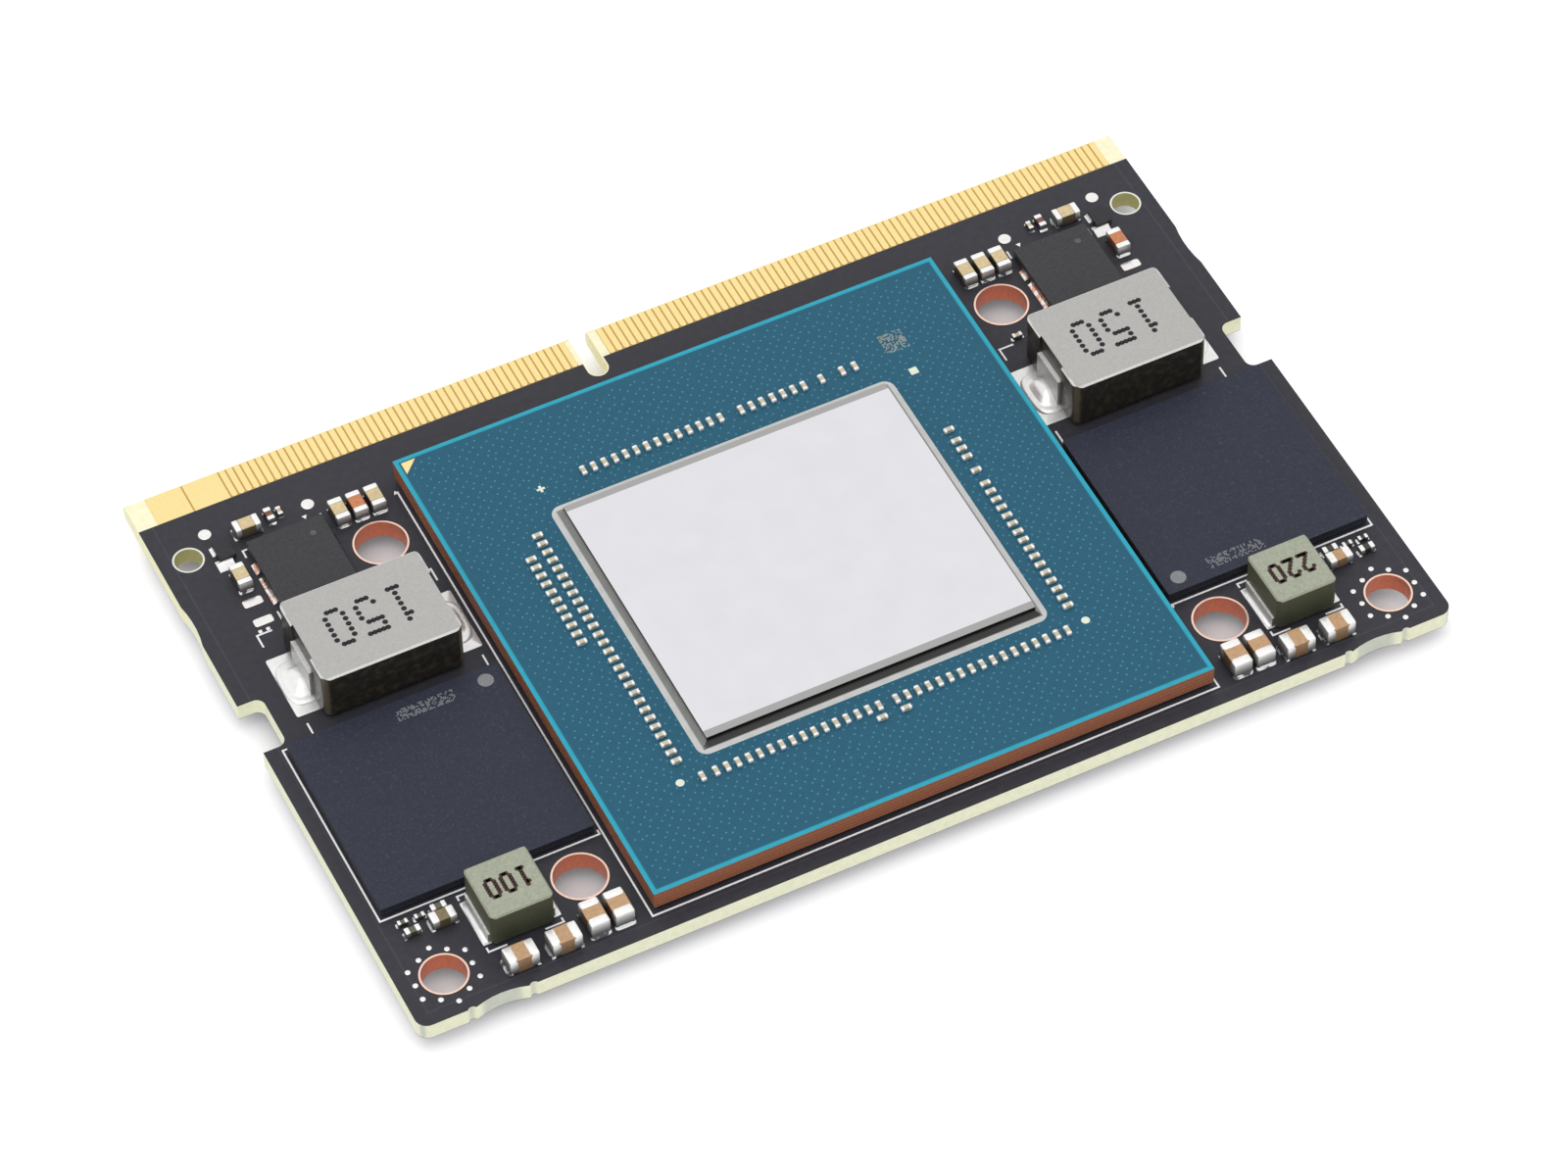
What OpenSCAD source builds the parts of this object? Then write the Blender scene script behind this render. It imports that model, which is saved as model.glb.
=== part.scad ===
// System on module: a card-edge board that carries a bare-die processor, two memory packages,
// two power stages with their inductors, and rows of chip capacitors.
// Sizes are in millimetres and +Z is up. The origin lies under the middle of the board, on the
// surface that the module rests on. +X runs along the contact edge and +Y points at the contacts.

/* [Board] */
// Thickness of the laminate
board_t = 1.2; // [0.8:0.1:2]
// Radius of the two corners of the plain edge
corner_r = 0.8; // [0.2:0.1:1.5]
// Bevel on both faces of the contact edge
bevel = 0.25; // [0.1:0.05:0.35]
// Thickness of each solder mask film
mask_t = 0.03; // [0.02:0.01:0.06]
// Thickness of the printed marks
print_t = 0.02; // [0.01:0.01:0.05]
// Width of the printed lines
print_w = 0.12; // [0.1:0.02:0.2]

/* [Card edge] */
// Distance between neighbouring contacts
contact_pitch = 0.5; // [0.4:0.01:0.51]
// Gap between neighbouring contacts
contact_gap = 0.11; // [0.08:0.01:0.2]
// Thickness of the gold-plated contacts
contact_t = 0.04; // [0.03:0.01:0.08]
// Bare strip from the contact edge to the solder mask
contact_strip = 2.55; // [2:0.05:3]
// Board end to the last contact
contact_margin = 1.3; // [1.1:0.05:2]
// Wide supply pads at the outer end of the short side
wide_pad_count = 2; // [1:1:4]
// Contact positions that one wide supply pad covers
wide_pad_span = 5; // [2:1:6]
// Place of the key slot, from the middle of the board
key_x = -3.54; // [-4:0.01:-3]
// Width of the key slot
key_w = 1.25; // [0.8:0.05:1.6]
// Depth of the key slot
key_depth = 3.86; // [3:0.02:5]
// Key slot to the first contact centre on the short side
key_to_short = 1.2; // [1.1:0.05:1.4]
// Key slot to the first contact centre on the long side
key_to_long = 1.44; // [1.1:0.02:1.6]

/* [Board edges] */
// Contact edge to the middle of the latch notches
latch_y = 20; // [18:0.1:20.5]
// Width of a latch notch
latch_w = 4; // [3:0.1:5]
// Depth of a latch notch
latch_depth = 1.6; // [1:0.1:2]
// Radius in the inner corners of a latch notch
latch_r = 0.6; // [0.2:0.1:0.9]
// Side edge to the middle of a break-off scallop
tab_inset = 5.35; // [4:0.05:8]
// Width of a break-off scallop
tab_w = 3.4; // [2:0.1:5]
// Depth of a break-off scallop
tab_rise = 0.28; // [0.1:0.02:0.4]
// Radius of the drill bites beside a break-off scallop
bite_r = 0.3; // [0.1:0.05:0.5]
// Depth of the shallow wave in each side edge
wave_rise = 0.18; // [0.05:0.01:0.3]
// Width of the shallow wave in each side edge
wave_w = 3.4; // [2:0.1:5]
// Contact edge to the middle of the shallow wave
wave_y = 11; // [10:0.1:12]

/* [Holes] */
// Radius of the two module mounting holes
mount_hole_r = 1.4; // [1.1:0.05:1.5]
// Side edge to a mounting hole
mount_inset_x = 2.9; // [2.5:0.05:3.2]
// Plain edge to a mounting hole
mount_inset_y = 3; // [2.6:0.05:3.2]
// Radius of the four heatsink holes
heatsink_hole_r = 1.65; // [1.2:0.05:1.7]
// Gap between the processor carrier and a heatsink hole
heatsink_to_soc = 1.08; // [0.9:0.02:1.4]
// Gap between a far heatsink hole and the large inductor
heatsink_to_coil = 2.605; // [2:0.005:3]
// Gap between a near heatsink hole and the capacitors along the plain edge
heatsink_to_caps = 0.535; // [0.4:0.005:0.6]
// Thickness of the copper plating in the screw holes
plating = 0.12; // [0.05:0.01:0.15]
// Radius of the two tooling holes
tool_hole_r = 0.9; // [0.6:0.05:1]
// Side edge to a tooling hole
tool_inset_x = 1.9; // [1.6:0.05:2.2]
// Contact edge to a tooling hole
tool_inset_y = 6; // [5.5:0.05:6.3]
// Mask clearance round a tooling hole
tool_clear = 0.12; // [0.05:0.01:0.3]
// Radius of a ground dot
dot_r = 0.18; // [0.1:0.01:0.25]
// Mounting hole centre to the ring of ground dots
dot_ring_r = 2; // [1.9:0.01:2.1]
// Distance by which neighbouring ground dots lie inside and outside that ring
dot_stagger = 0.15; // [0:0.01:0.15]

/* [Solder] */
// Thickness of a solder land
land_t = 0.04; // [0.02:0.01:0.1]
// Reach of a solder fillet in front of a chip's metal end
fillet_reach = 0.26; // [0.1:0.02:0.3]

/* [Processor] */
// Side of the square processor carrier
soc_l = 37.7; // [36:0.1:38.2]
// Plain edge of the board to the processor carrier
soc_inset = 1.5; // [1.4:0.05:2]
// Gap between the processor carrier and the strip of contacts
soc_to_strip = 3.25; // [2.5:0.05:5]
// Thickness of the carrier's laminate
soc_t = 1.28; // [0.8:0.02:1.6]
// Thickness of the carrier's mask film
soc_mask_t = 0.03; // [0.02:0.01:0.06]
// Height of the solder balls under the carrier
soc_ball_h = 0.37; // [0.2:0.01:0.6]
// Distance between solder balls under the carrier
soc_ball_pitch = 0.8; // [0.7:0.05:1.2]
// Length of the die
die_l = 22.3; // [18:0.1:23]
// Width of the die
die_w = 20.3; // [16:0.1:21]
// Height of the die above the carrier
die_t = 0.72; // [0.5:0.02:1]
// Width of the ground band along the die's long edges
die_band = 0.5; // [0.2:0.05:0.8]
// Drop of the ground band at the die's edge
die_drop = 0.05; // [0.02:0.01:0.1]
// Width of the underfill fillet round the die
underfill_w = 0.72; // [0.4:0.02:1]
// Height of the underfill on the die's wall
underfill_h = 0.42; // [0.2:0.02:0.45]
// Distance between the chip capacitors round the die
soc_cap_pitch = 0.73; // [0.6:0.01:0.75]
// Length of a chip capacitor on the carrier
soc_cap_l = 0.68; // [0.5:0.02:0.8]
// Width of a chip capacitor on the carrier
soc_cap_w = 0.34; // [0.2:0.02:0.4]
// Height of a chip capacitor on the carrier
soc_cap_h = 0.3; // [0.2:0.02:0.4]

/* [Memory] */
// Side of the square memory packages
memory_l = 14; // [12:0.1:14.2]
// Height of the mould of a memory package
memory_t = 0.6; // [0.4:0.02:1]
// Height of the solder balls under a memory package
memory_ball_h = 0.2; // [0.15:0.01:0.4]
// Gap between the processor carrier and a memory package
memory_gap = 0.65; // [0.5:0.05:0.8]
// Gap between a memory package and the end of the board
memory_to_end = 1.3; // [1:0.05:2]

/* [Large inductors] */
// Length of a large inductor
coil_l = 9.35; // [8:0.05:9.5]
// Width of a large inductor
coil_w = 6.95; // [6:0.05:7.2]
// Height of a large inductor above its lands
coil_h = 3.72; // [2.5:0.02:5]
// Radius of the upright edges of a large inductor
coil_r = 0.55; // [0.2:0.05:1]
// Chamfer round the top of a large inductor
coil_chamfer = 0.12; // [0.05:0.01:0.3]
// Thickness of the strap terminals of a large inductor
coil_strap_t = 0.3; // [0.15:0.05:0.4]
// Width of the strap terminals of a large inductor
coil_strap_w = 2.8; // [2:0.1:3.4]
// Length of a land beyond the end of a large inductor
coil_land = 1.54; // [1.2:0.02:1.6]
// Width of a land of a large inductor
coil_land_w = 4.92; // [4:0.02:5.4]
// Gap between the processor carrier and the lands of a large inductor
coil_gap = 0.6; // [0.4:0.05:0.7]
// Gap between a memory package and a large inductor
coil_to_memory = 1.11; // [0.9:0.01:1.5]
// Gap between the lands of a large inductor and the end of the board
coil_to_end = 2.9; // [2.4:0.05:3.4]

/* [Small inductors] */
// Length of a small inductor
choke_l = 4.1; // [3:0.05:4.3]
// Width of a small inductor
choke_w = 4.15; // [3:0.05:4.3]
// Height of a small inductor above its lands
choke_h = 2.66; // [1.5:0.02:3.5]
// Radius of the upright edges of a small inductor
choke_r = 0.35; // [0.1:0.05:0.8]
// Thickness of the terminals of a small inductor
choke_strap_t = 0.15; // [0.1:0.05:0.25]
// Width of the terminals of a small inductor
choke_strap_w = 3.3; // [2.2:0.1:3.6]
// Length of a land beyond the end of a small inductor
choke_land = 0.5; // [0.4:0.02:0.6]
// Gap between a memory package and a small inductor
choke_to_memory = 0.78; // [0.7:0.02:0.9]
// Gap between a small inductor and the capacitors along the plain edge
choke_to_caps = 1.15; // [1:0.05:1.5]

/* [Power stages] */
// Length of a power stage along the contact edge
stage_l = 5.1; // [4.5:0.1:5.2]
// Width of a power stage across the board
stage_w = 6; // [5:0.1:6.1]
// Height of a power stage above its lands
stage_h = 0.7; // [0.5:0.05:1]
// Gap between a large inductor and a power stage
stage_to_coil = 1.66; // [1.5:0.02:1.9]
// Gap between a heatsink hole and a power stage
stage_to_hole = 0.78; // [0.6:0.02:1]
// Gap between a power stage and the strip of contacts
stage_to_strip = 4.33; // [4:0.01:5.6]

/* [Chip capacitors] */
// Length of an input capacitor
input_cap_l = 1.7; // [1.2:0.05:1.8]
// Width of an input capacitor
input_cap_w = 0.95; // [0.6:0.05:1]
// Height of an input capacitor
input_cap_h = 0.9; // [0.5:0.05:1.2]
// Length of an output capacitor
output_cap_l = 2; // [1.6:0.05:2.1]
// Width of an output capacitor
output_cap_w = 1.3; // [0.9:0.05:1.35]
// Height of an output capacitor
output_cap_h = 1.25; // [0.6:0.05:1.5]
// Length of a filter capacitor
filter_cap_l = 1.6; // [1.2:0.05:1.65]
// Width of a filter capacitor
filter_cap_w = 0.9; // [0.6:0.05:0.95]
// Height of a filter capacitor
filter_cap_h = 0.8; // [0.4:0.05:1]
// Length of a small capacitor
small_cap_l = 1; // [0.8:0.05:1.05]
// Width of a small capacitor
small_cap_w = 0.5; // [0.4:0.02:0.55]
// Height of a small capacitor
small_cap_h = 0.5; // [0.3:0.05:0.6]
// Length of a tiny capacitor
tiny_cap_l = 0.66; // [0.5:0.02:0.7]
// Width of a tiny capacitor
tiny_cap_w = 0.34; // [0.28:0.02:0.36]
// Height of a tiny capacitor
tiny_cap_h = 0.3; // [0.25:0.01:0.4]
// Share of a capacitor's length that each metal end covers
end_share = 0.24; // [0.15:0.01:0.35]
// Thickness of the metal ends over the ceramic
end_t = 0.02; // [0.01:0.01:0.04]
// Radius of the long edges of a chip
chip_edge_r = 0.07; // [0.03:0.01:0.1]
// Plain edge of the board to the output capacitors
output_to_edge = 1.02; // [0.8:0.02:1.2]
// Length of a diode
diode_l = 1.1; // [0.8:0.05:1.15]
// Width of a diode
diode_w = 1.4; // [1:0.05:1.45]
// Height of a diode
diode_h = 0.42; // [0.3:0.02:0.6]
// Length of the solder in front of a diode's wide terminal
diode_solder_l = 0.66; // [0.3:0.02:0.7]

/* [Underside] */
// Length of a bulk capacitor
bulk_cap_l = 3.5; // [2.8:0.1:4]
// Width of a bulk capacitor
bulk_cap_w = 2.8; // [2:0.1:3.2]
// Height of a bulk capacitor
bulk_cap_h = 1.2; // [1.1:0.1:2]
// Thickness of the terminals of a bulk capacitor
bulk_end_t = 0.12; // [0.08:0.02:0.2]
// Distance between the decoupling capacitors
decap_pitch = 2.4; // [2:0.1:2.5]
// Rows and columns of decoupling capacitors
decap_count = 8; // [4:2:8]
// Length of the power controller
controller_l = 6; // [5:0.1:6.4]
// Width of the power controller
controller_w = 6; // [5:0.1:6.4]
// Height of the power controller
controller_h = 0.85; // [0.6:0.05:1]
// Length of the boot flash
flash_l = 6; // [5:0.1:6.4]
// Width of the boot flash
flash_w = 5; // [4:0.1:6]
// Height of the boot flash
flash_h = 0.75; // [0.5:0.05:1]
// Length of the identity memory
identity_l = 3; // [2:0.1:3.2]
// Width of the identity memory
identity_w = 2; // [1.6:0.1:3]
// Height of the identity memory
identity_h = 0.55; // [0.4:0.05:0.9]
// Length of a power monitor
monitor_l = 4; // [3:0.1:4.5]
// Width of a power monitor
monitor_w = 4; // [3:0.1:4.5]
// Height of a power monitor
monitor_h = 0.9; // [0.6:0.05:1]
// Length of the clock crystal
crystal_l = 3.2; // [2:0.1:3.4]
// Width of the clock crystal
crystal_w = 2.5; // [1.6:0.1:3]
// Height of the clock crystal
crystal_h = 0.7; // [0.5:0.05:0.9]
// Height of the crystal's metal lid within that height
crystal_lid_t = 0.2; // [0.1:0.05:0.3]

/* [Hidden] */
$fn = 32;
overshoot = 1;

// Length, width and height of each chip and package
input_cap = [input_cap_l, input_cap_w, input_cap_h];
output_cap = [output_cap_l, output_cap_w, output_cap_h];
filter_cap = [filter_cap_l, filter_cap_w, filter_cap_h];
small_cap = [small_cap_l, small_cap_w, small_cap_h];
tiny_cap = [tiny_cap_l, tiny_cap_w, tiny_cap_h];
diode = [diode_l, diode_w, diode_h];
controller = [controller_l, controller_w, controller_h];
flash = [flash_l, flash_w, flash_h];
identity = [identity_l, identity_w, identity_h];
monitor = [monitor_l, monitor_w, monitor_h];

// Heights of the faces of the board, and the lines of its edges
board_z = bulk_cap_h + land_t + mask_t;
laminate_top = board_z + board_t;
top_z = laminate_top + mask_t;
bottom_z = board_z - mask_t;

// The board is as long and as wide as the longest row and column of pieces on it
memory_x = soc_l / 2 + memory_gap + memory_l / 2;
coil_x = soc_l / 2 + coil_gap + coil_land + coil_l / 2;
memory_row = memory_x + memory_l / 2 + memory_to_end;
coil_row = coil_x + coil_l / 2 + coil_land + coil_to_end;
board_l = 2 * max(memory_row, coil_row);
soc_column = soc_inset + soc_l + soc_to_strip;
choke_column = output_to_edge + output_cap_w + choke_to_caps + choke_w + choke_to_memory;
coil_column = memory_l + coil_to_memory + coil_w;
stage_column = stage_to_coil + stage_w + stage_to_strip;
board_w = contact_strip + max(soc_column, choke_column + coil_column + stage_column);
side_edge = board_l / 2;
contact_edge = board_w / 2;
plain_edge = -board_w / 2;
mask_edge = contact_edge - contact_strip;

// Card edge
contact_w = contact_pitch - contact_gap;
short_side_l = side_edge + key_x - key_to_short - contact_margin;
long_side_l = side_edge - key_x - key_to_long - contact_margin;
short_side_count = floor(short_side_l / contact_pitch) + 1;
long_side_count = floor(long_side_l / contact_pitch) + 1;
single_count = short_side_count - wide_pad_count * wide_pad_span;
wide_pad_w = wide_pad_span * contact_pitch - contact_gap;

// Processor
soc_y = plain_edge + soc_inset + soc_l / 2;
soc_top = top_z + soc_ball_h + soc_t + soc_mask_t;
soc_ball_r = 0.22;
ball_foot = 0.75;
soc_ball_inset = 1;
soc_ball_rows = 2;
soc_core_balls = 11;
soc_ball_count = floor((soc_l - 2 * soc_ball_inset) / soc_ball_pitch) + 1;

// Rows of chip capacitors on the carrier: gap to the die, then [first place, count] of each run
far_gap = 2.5;
far_runs = [[-8.6, 14], [2.33, 7], [7.96, 1], [9.41, 1], [10.3, 1]];
near_gap = 2.17;
near_runs = [[-12.49, 1], [-11.57, 16], [0.55, 17]];
left_gap = 2.22;
left_runs = [[-10.55, 28]];
outer_step = 1.16;
outer_runs = [[0.3, 11]];
right_gap = 2.02;
right_runs = [[-10.59, 16], [1.58, 1], [2.81, 3], [5.28, 1]];
pair_step = 0.88;
pair_runs = [[-0.85, 1], [0.77, 1]];

// Marks on the carrier, from its middle
pin_mark_l = 0.97;
pin_mark_inset = 0.4;
mark_d = 0.54;
cross_w = 0.17;
cross_place = [-11.55, 12.6];
square_place = [13.5, 10.75];
disc_places = [[-13.85, -12.05], [13.65, -12]];

// Pieces beside the processor on the right-hand side, mirrored to the left, from the plain edge on
output_y = plain_edge + output_to_edge + output_cap_w / 2;
choke_shift = 0.08;
choke_x = memory_x - choke_shift;
choke_y = output_y + output_cap_w / 2 + choke_to_caps + choke_w / 2;
choke_chamfer = 0.1;
choke_strap_h = 0.75;
choke_strap_foot = 1;
choke_solder = [0.25, 0.5];
memory_y = choke_y + choke_w / 2 + choke_to_memory + memory_l / 2;
memory_near_edge = memory_y - memory_l / 2;
memory_ball_r = 0.14;
memory_ball_pitch = 1.1;
memory_ball_grid = 12;
memory_ball_bank = 4;
coil_y = memory_y + memory_l / 2 + coil_to_memory + coil_w / 2;
coil_strap_h = 2.3;
coil_strap_foot = 1.8;
coil_strap_clear = 0.05;
coil_land_step = [0.16, 0.7];
coil_solder = [0.75, 1.2];

// Row of capacitors along the plain edge, and the upright pair at its inner end
output_shift = 1.72;
output_gap = 0.28;
upright_gap = 0.36;
upright_step = 0.31;
upright_to_edge = 1.3;
output_x = choke_x - output_shift;
output_pitch = output_cap_l + 2 * fillet_reach + output_gap;
upright_x = output_x - output_cap_l / 2 - fillet_reach - upright_gap - output_cap_w / 2;
upright_y = plain_edge + upright_to_edge + output_cap_l / 2;
upright_pitch = output_cap_w + upright_step;

// Screw holes
dot_count = 12;
mount_x = side_edge - mount_inset_x;
mount_y = plain_edge + mount_inset_y;
tool_x = side_edge - tool_inset_x;
tool_y = contact_edge - tool_inset_y;
heatsink_bore_r = heatsink_hole_r + plating;
heatsink_x = soc_l / 2 + heatsink_to_soc + heatsink_bore_r;
heatsink_near_y = upright_y + output_cap_l / 2 + fillet_reach + heatsink_to_caps + heatsink_bore_r;
heatsink_far_y = coil_y + coil_w / 2 + heatsink_to_coil + heatsink_bore_r;

// Power stages
stage_x = heatsink_x + heatsink_bore_r + stage_to_hole + stage_l / 2;
stage_y = coil_y + coil_w / 2 + stage_to_coil + stage_w / 2;
stage_r = 0.1;

// Leads of a power stage: [place along its side, width]
stage_leads = [[1.25, 0.85], [-0.7, 2.3]];
stage_lead_depth = 0.4;
stage_solder = [0.28, 0.3];

// Capacitors beside the far heatsink holes
chip_gap = 0.1;
low_chip_reach = 0.4;
group_shift = 1;
group_gap = 0.27;
group_clear = 0.2;
group_x = heatsink_x - group_shift;
group_step = input_cap_w + group_gap;
group_y = heatsink_far_y + heatsink_bore_r + group_clear + fillet_reach + input_cap_l / 2;

// Row between a power stage and the contacts
row_shift = 1.95;
row_clear = 0.85;
row_gap = 0.3;
row_rise = 0.35;
row_x = stage_x + row_shift;
row_y = stage_y + stage_w / 2 + row_clear + input_cap_w / 2;
row_small_x = row_x - input_cap_l / 2 - fillet_reach - row_gap - small_cap_w / 2;
row_small_y = row_y + row_rise;
row_tiny_x = row_small_x - small_cap_w / 2 - row_gap - tiny_cap_w / 2;
row_tiny_y = row_small_y + chip_gap;

// Diode and capacitor on the outer side of a power stage
diode_drop = 0.97;
column_shift = 3.87;
column_clear = 0.8;
diode_x = row_x + input_cap_l / 2 + fillet_reach + 3 * chip_gap + diode_l / 2;
diode_y = row_y - diode_drop;
column_x = stage_x + column_shift;
column_y = diode_y - diode_w / 2 - column_clear - fillet_reach - input_cap_l / 2;

// Two rows on the outer side of a small inductor
filter_clear = 0.34;
filter_drop = 1.44;
upper_shift = 0.12;
filter_x = choke_x + choke_l / 2 + choke_land + fillet_reach + filter_clear + filter_cap_l / 2;
filter_y = memory_near_edge - filter_drop - filter_cap_w / 2;
filter_end = filter_x + filter_cap_l / 2 + fillet_reach;
side_small_x = filter_end + 2 * chip_gap + reach(small_cap) + small_cap_l / 2;
upper_x = filter_x - upper_shift;
upper_y = filter_y + filter_cap_w / 2 + 2 * chip_gap + small_cap_w / 2;
upper_tiny_x = upper_x + small_cap_l / 2 + reach(small_cap) + 2 * chip_gap + tiny_cap_l / 2;
far_tiny_x = upper_tiny_x + tiny_cap_l + 2 * reach(tiny_cap) + 2 * chip_gap;

// Single capacitor beside the right large inductor
single_shift = 0.3;
single_clear = 1.46;
single_x = coil_x - coil_l / 2 + single_shift;
single_y = coil_y + coil_w / 2 + single_clear;

// Places of the chips on the upper side: [x, y, turn]
beige_spots = concat(
    [for (s = [-1, 1], k = [0, 2]) [s * (group_x + k * group_step), group_y, 90]],
    [[group_x + group_step, group_y, 90]],
    [for (s = [-1, 1]) [s * row_x, row_y, 0]],
    [[-column_x, column_y, 90]]);
orange_spots = [[-group_x - group_step, group_y, 90], [column_x, column_y, 90]];
output_spots = concat(
    [for (s = [-1, 1], k = [0, 1]) [s * (output_x + k * output_pitch), output_y, 0]],
    [for (s = [-1, 1], k = [0, 1]) [s * (upright_x - k * upright_pitch), upright_y, 90]]);
olive_spots = [[-filter_x, filter_y, 0]];
brown_spots = [[filter_x, filter_y, 0]];
small_spots = concat(
    [for (s = [-1, 1]) [s * row_small_x, row_small_y, 90]],
    [for (s = [-1, 1]) [s * side_small_x, filter_y, 0]],
    [for (s = [-1, 1]) [s * upper_x, upper_y, 0]]);
tiny_spots = concat(
    [for (s = [-1, 1]) [s * row_tiny_x, row_tiny_y, 90]],
    [for (s = [-1, 1], x = [upper_tiny_x, far_tiny_x]) [s * x, upper_y, 0]],
    [[single_x, single_y, 0]]);

// Bare solder lands
pad_l = 1.3;
pad_w = 0.65;
pad_r = 0.2;
pad_clear = 0.32;
pad_step = 1.66;
pad_y = column_y - input_cap_l / 2 - fillet_reach - pad_clear - pad_w / 2;
round_pad_r = 0.42;
round_pad_places = [[4.4, 5.3], [-2.3, 4.66]];
speck_l = 0.26;

// Printed marks
soc_print_gap = 0.25;
memory_print_gap = 0.2;
hook_l = 0.55;
coil_mark_l = 0.95;
coil_mark_gap = [1.18, 1.05];
coil_dash_inset = 0.3;
coil_print_x = coil_l / 2 + coil_mark_gap[0];
coil_print_y = coil_w / 2 + coil_mark_gap[1];
coil_dash_y = coil_w / 2 - coil_dash_inset;
choke_mark_l = 1.15;
choke_mark_gap = [0.4, 0.2];
choke_print_x = choke_l / 2 + choke_mark_gap[0];
choke_print_y = choke_w / 2 + choke_mark_gap[1];
triangle_l = 0.4;

// Places on the underside
service_gap = 2;
bulk_shift = [1, 4];
bulk_x = memory_x + bulk_shift[0];
bulk_far_y = coil_y + bulk_shift[1];
bulk_near_y = memory_y - bulk_shift[1];
bulk_end_share = 0.8;
bulk_land_depth = 0.5;
decap_span = (decap_count - 1) * decap_pitch;
service_row_y = soc_y + decap_span / 2 + small_cap_l + service_gap;
service_row_count = 12;
service_y = service_row_y + small_cap_l / 2 + service_gap / 2 + controller_w / 2;
service_l = identity_l + controller_l + flash_l + crystal_l + 3 * service_gap;
identity_x = (identity_l - service_l) / 2;
controller_x = identity_x + identity_l / 2 + service_gap + controller_l / 2;
flash_x = controller_x + controller_l / 2 + service_gap + flash_l / 2;
crystal_x = flash_x + flash_l / 2 + service_gap + crystal_l / 2;
monitor_gap = 4.6;
monitor_x = decap_span / 2 + monitor_gap + monitor_l / 2;
package_r = 0.1;
lead_pitch = 0.65;
lead_w = 0.35;
lead_in = 0.5;
lead_out = 0.15;

decap_spots = concat(
    [for (i = [0 : decap_count - 1], j = [0 : decap_count - 1])
        [i * decap_pitch - decap_span / 2, soc_y + j * decap_pitch - decap_span / 2, 90 * (j % 2)]],
    [for (i = [0 : service_row_count - 1])
        [(i - (service_row_count - 1) / 2) * decap_pitch, service_row_y, 90]]);
bulk_spots = [for (s = [-1, 1], y = [bulk_near_y, bulk_far_y]) [s * bulk_x, y, 0]];

// Reach of the solder in front of a chip, less on the low ones
function reach(size) = min(fillet_reach, low_chip_reach * size[2]);

// Centres of the capacitors in a list of runs
function run_places(runs) = [for (run = runs, i = [0 : run[1] - 1]) run[0] + i * soc_cap_pitch];

// Place and turn of every chip capacitor on the carrier
soc_spots = concat(
    [for (x = run_places(far_runs)) [x, soc_y + die_w / 2 + far_gap, 90]],
    [for (x = run_places(near_runs)) [x, soc_y - die_w / 2 - near_gap, 90]],
    [for (y = run_places(left_runs)) [-die_l / 2 - left_gap, soc_y + y, 0]],
    [for (y = run_places(outer_runs)) [-die_l / 2 - left_gap - outer_step, soc_y + y, 0]],
    [for (y = run_places(right_runs)) [die_l / 2 + right_gap, soc_y + y, 0]],
    [for (x = run_places(pair_runs)) [x, soc_y - die_w / 2 - near_gap - pair_step, 0]]);

// Shapes that several pieces share

module both_sides() {
    children();
    mirror([1, 0, 0]) children();
}

module at(spots, z = top_z) {
    for (spot = spots) translate([spot[0], spot[1], z]) rotate(spot[2]) children();
}

// Turns what stands on z = 0 over and hangs it under the board
module hung() {
    translate([0, 0, bottom_z]) mirror([0, 0, 1]) children();
}

module block(l, w, h) {
    translate([-l / 2, -w / 2, 0]) cube([l, w, h]);
}

module round_rect(l, w, r) {
    square([l - 2 * r, w], center = true);
    square([l, w - 2 * r], center = true);
    for (sx = [-1, 1], sy = [-1, 1])
        translate([sx * (l / 2 - r), sy * (w / 2 - r)]) circle(r);
}

// Bar along X with rounded long edges, standing on z = 0
module bar(l, w, h, r) {
    translate([0, 0, h / 2]) rotate([90, 0, 90]) linear_extrude(l, center = true) round_rect(w, h, r);
}

// Moulded package on its lands
module package(size, r = package_r) {
    translate([0, 0, land_t]) linear_extrude(size[2]) round_rect(size[0], size[1], r);
}

// Ceramic of a chip capacitor, between its metal ends
module chip_body(size) {
    length = size[0] * (1 - 2 * end_share);
    translate([0, 0, land_t + end_t]) bar(length, size[1] - 2 * end_t, size[2] - 2 * end_t, chip_edge_r);
}

module chip_ends(size) {
    length = size[0] * end_share;
    for (s = [-1, 1])
        translate([s * (size[0] - length) / 2, 0, land_t]) bar(length, size[1], size[2], chip_edge_r);
}

// Land under a metal end whose outer face is at x = 0, with a hollow fillet that climbs the face
module solder_joint(w, depth, length, climb) {
    curve = [for (a = [0 : 18 : 90]) [length * (1 - sin(a)), land_t + (climb - land_t) * (1 - cos(a))]];
    rotate([90, 0, 0]) linear_extrude(w, center = true)
        polygon(concat([[-depth, 0], [length, 0]], curve, [[0, land_t], [-depth, land_t]]));
}

module chip_solder(size) {
    for (s = [0, 180])
        rotate(s) translate([size[0] / 2, 0, 0])
            solder_joint(size[1] + chip_gap, size[0] * end_share, reach(size), size[2] / 2);
}

// Solder ball squeezed between two faces
module ball(r, h) {
    foot = r * ball_foot;
    rotate_extrude() polygon([[0, 0], [foot, 0], [r, h / 2], [foot, h], [0, h]]);
}

// Block whose top edges are chamfered, for the pressed cores
module pressed_core(l, w, h, r, c) {
    intersection() {
        linear_extrude(h) round_rect(l, w, r);
        rotate([90, 0, 0]) linear_extrude(w + overshoot, center = true) roof(l, h, c);
        rotate([90, 0, 90]) linear_extrude(l + overshoot, center = true) roof(w, h, c);
    }
}

module roof(w, h, c) {
    polygon([[-w / 2, 0], [w / 2, 0], [w / 2, h - c], [w / 2 - c, h], [c - w / 2, h], [-w / 2, h - c]]);
}

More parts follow.
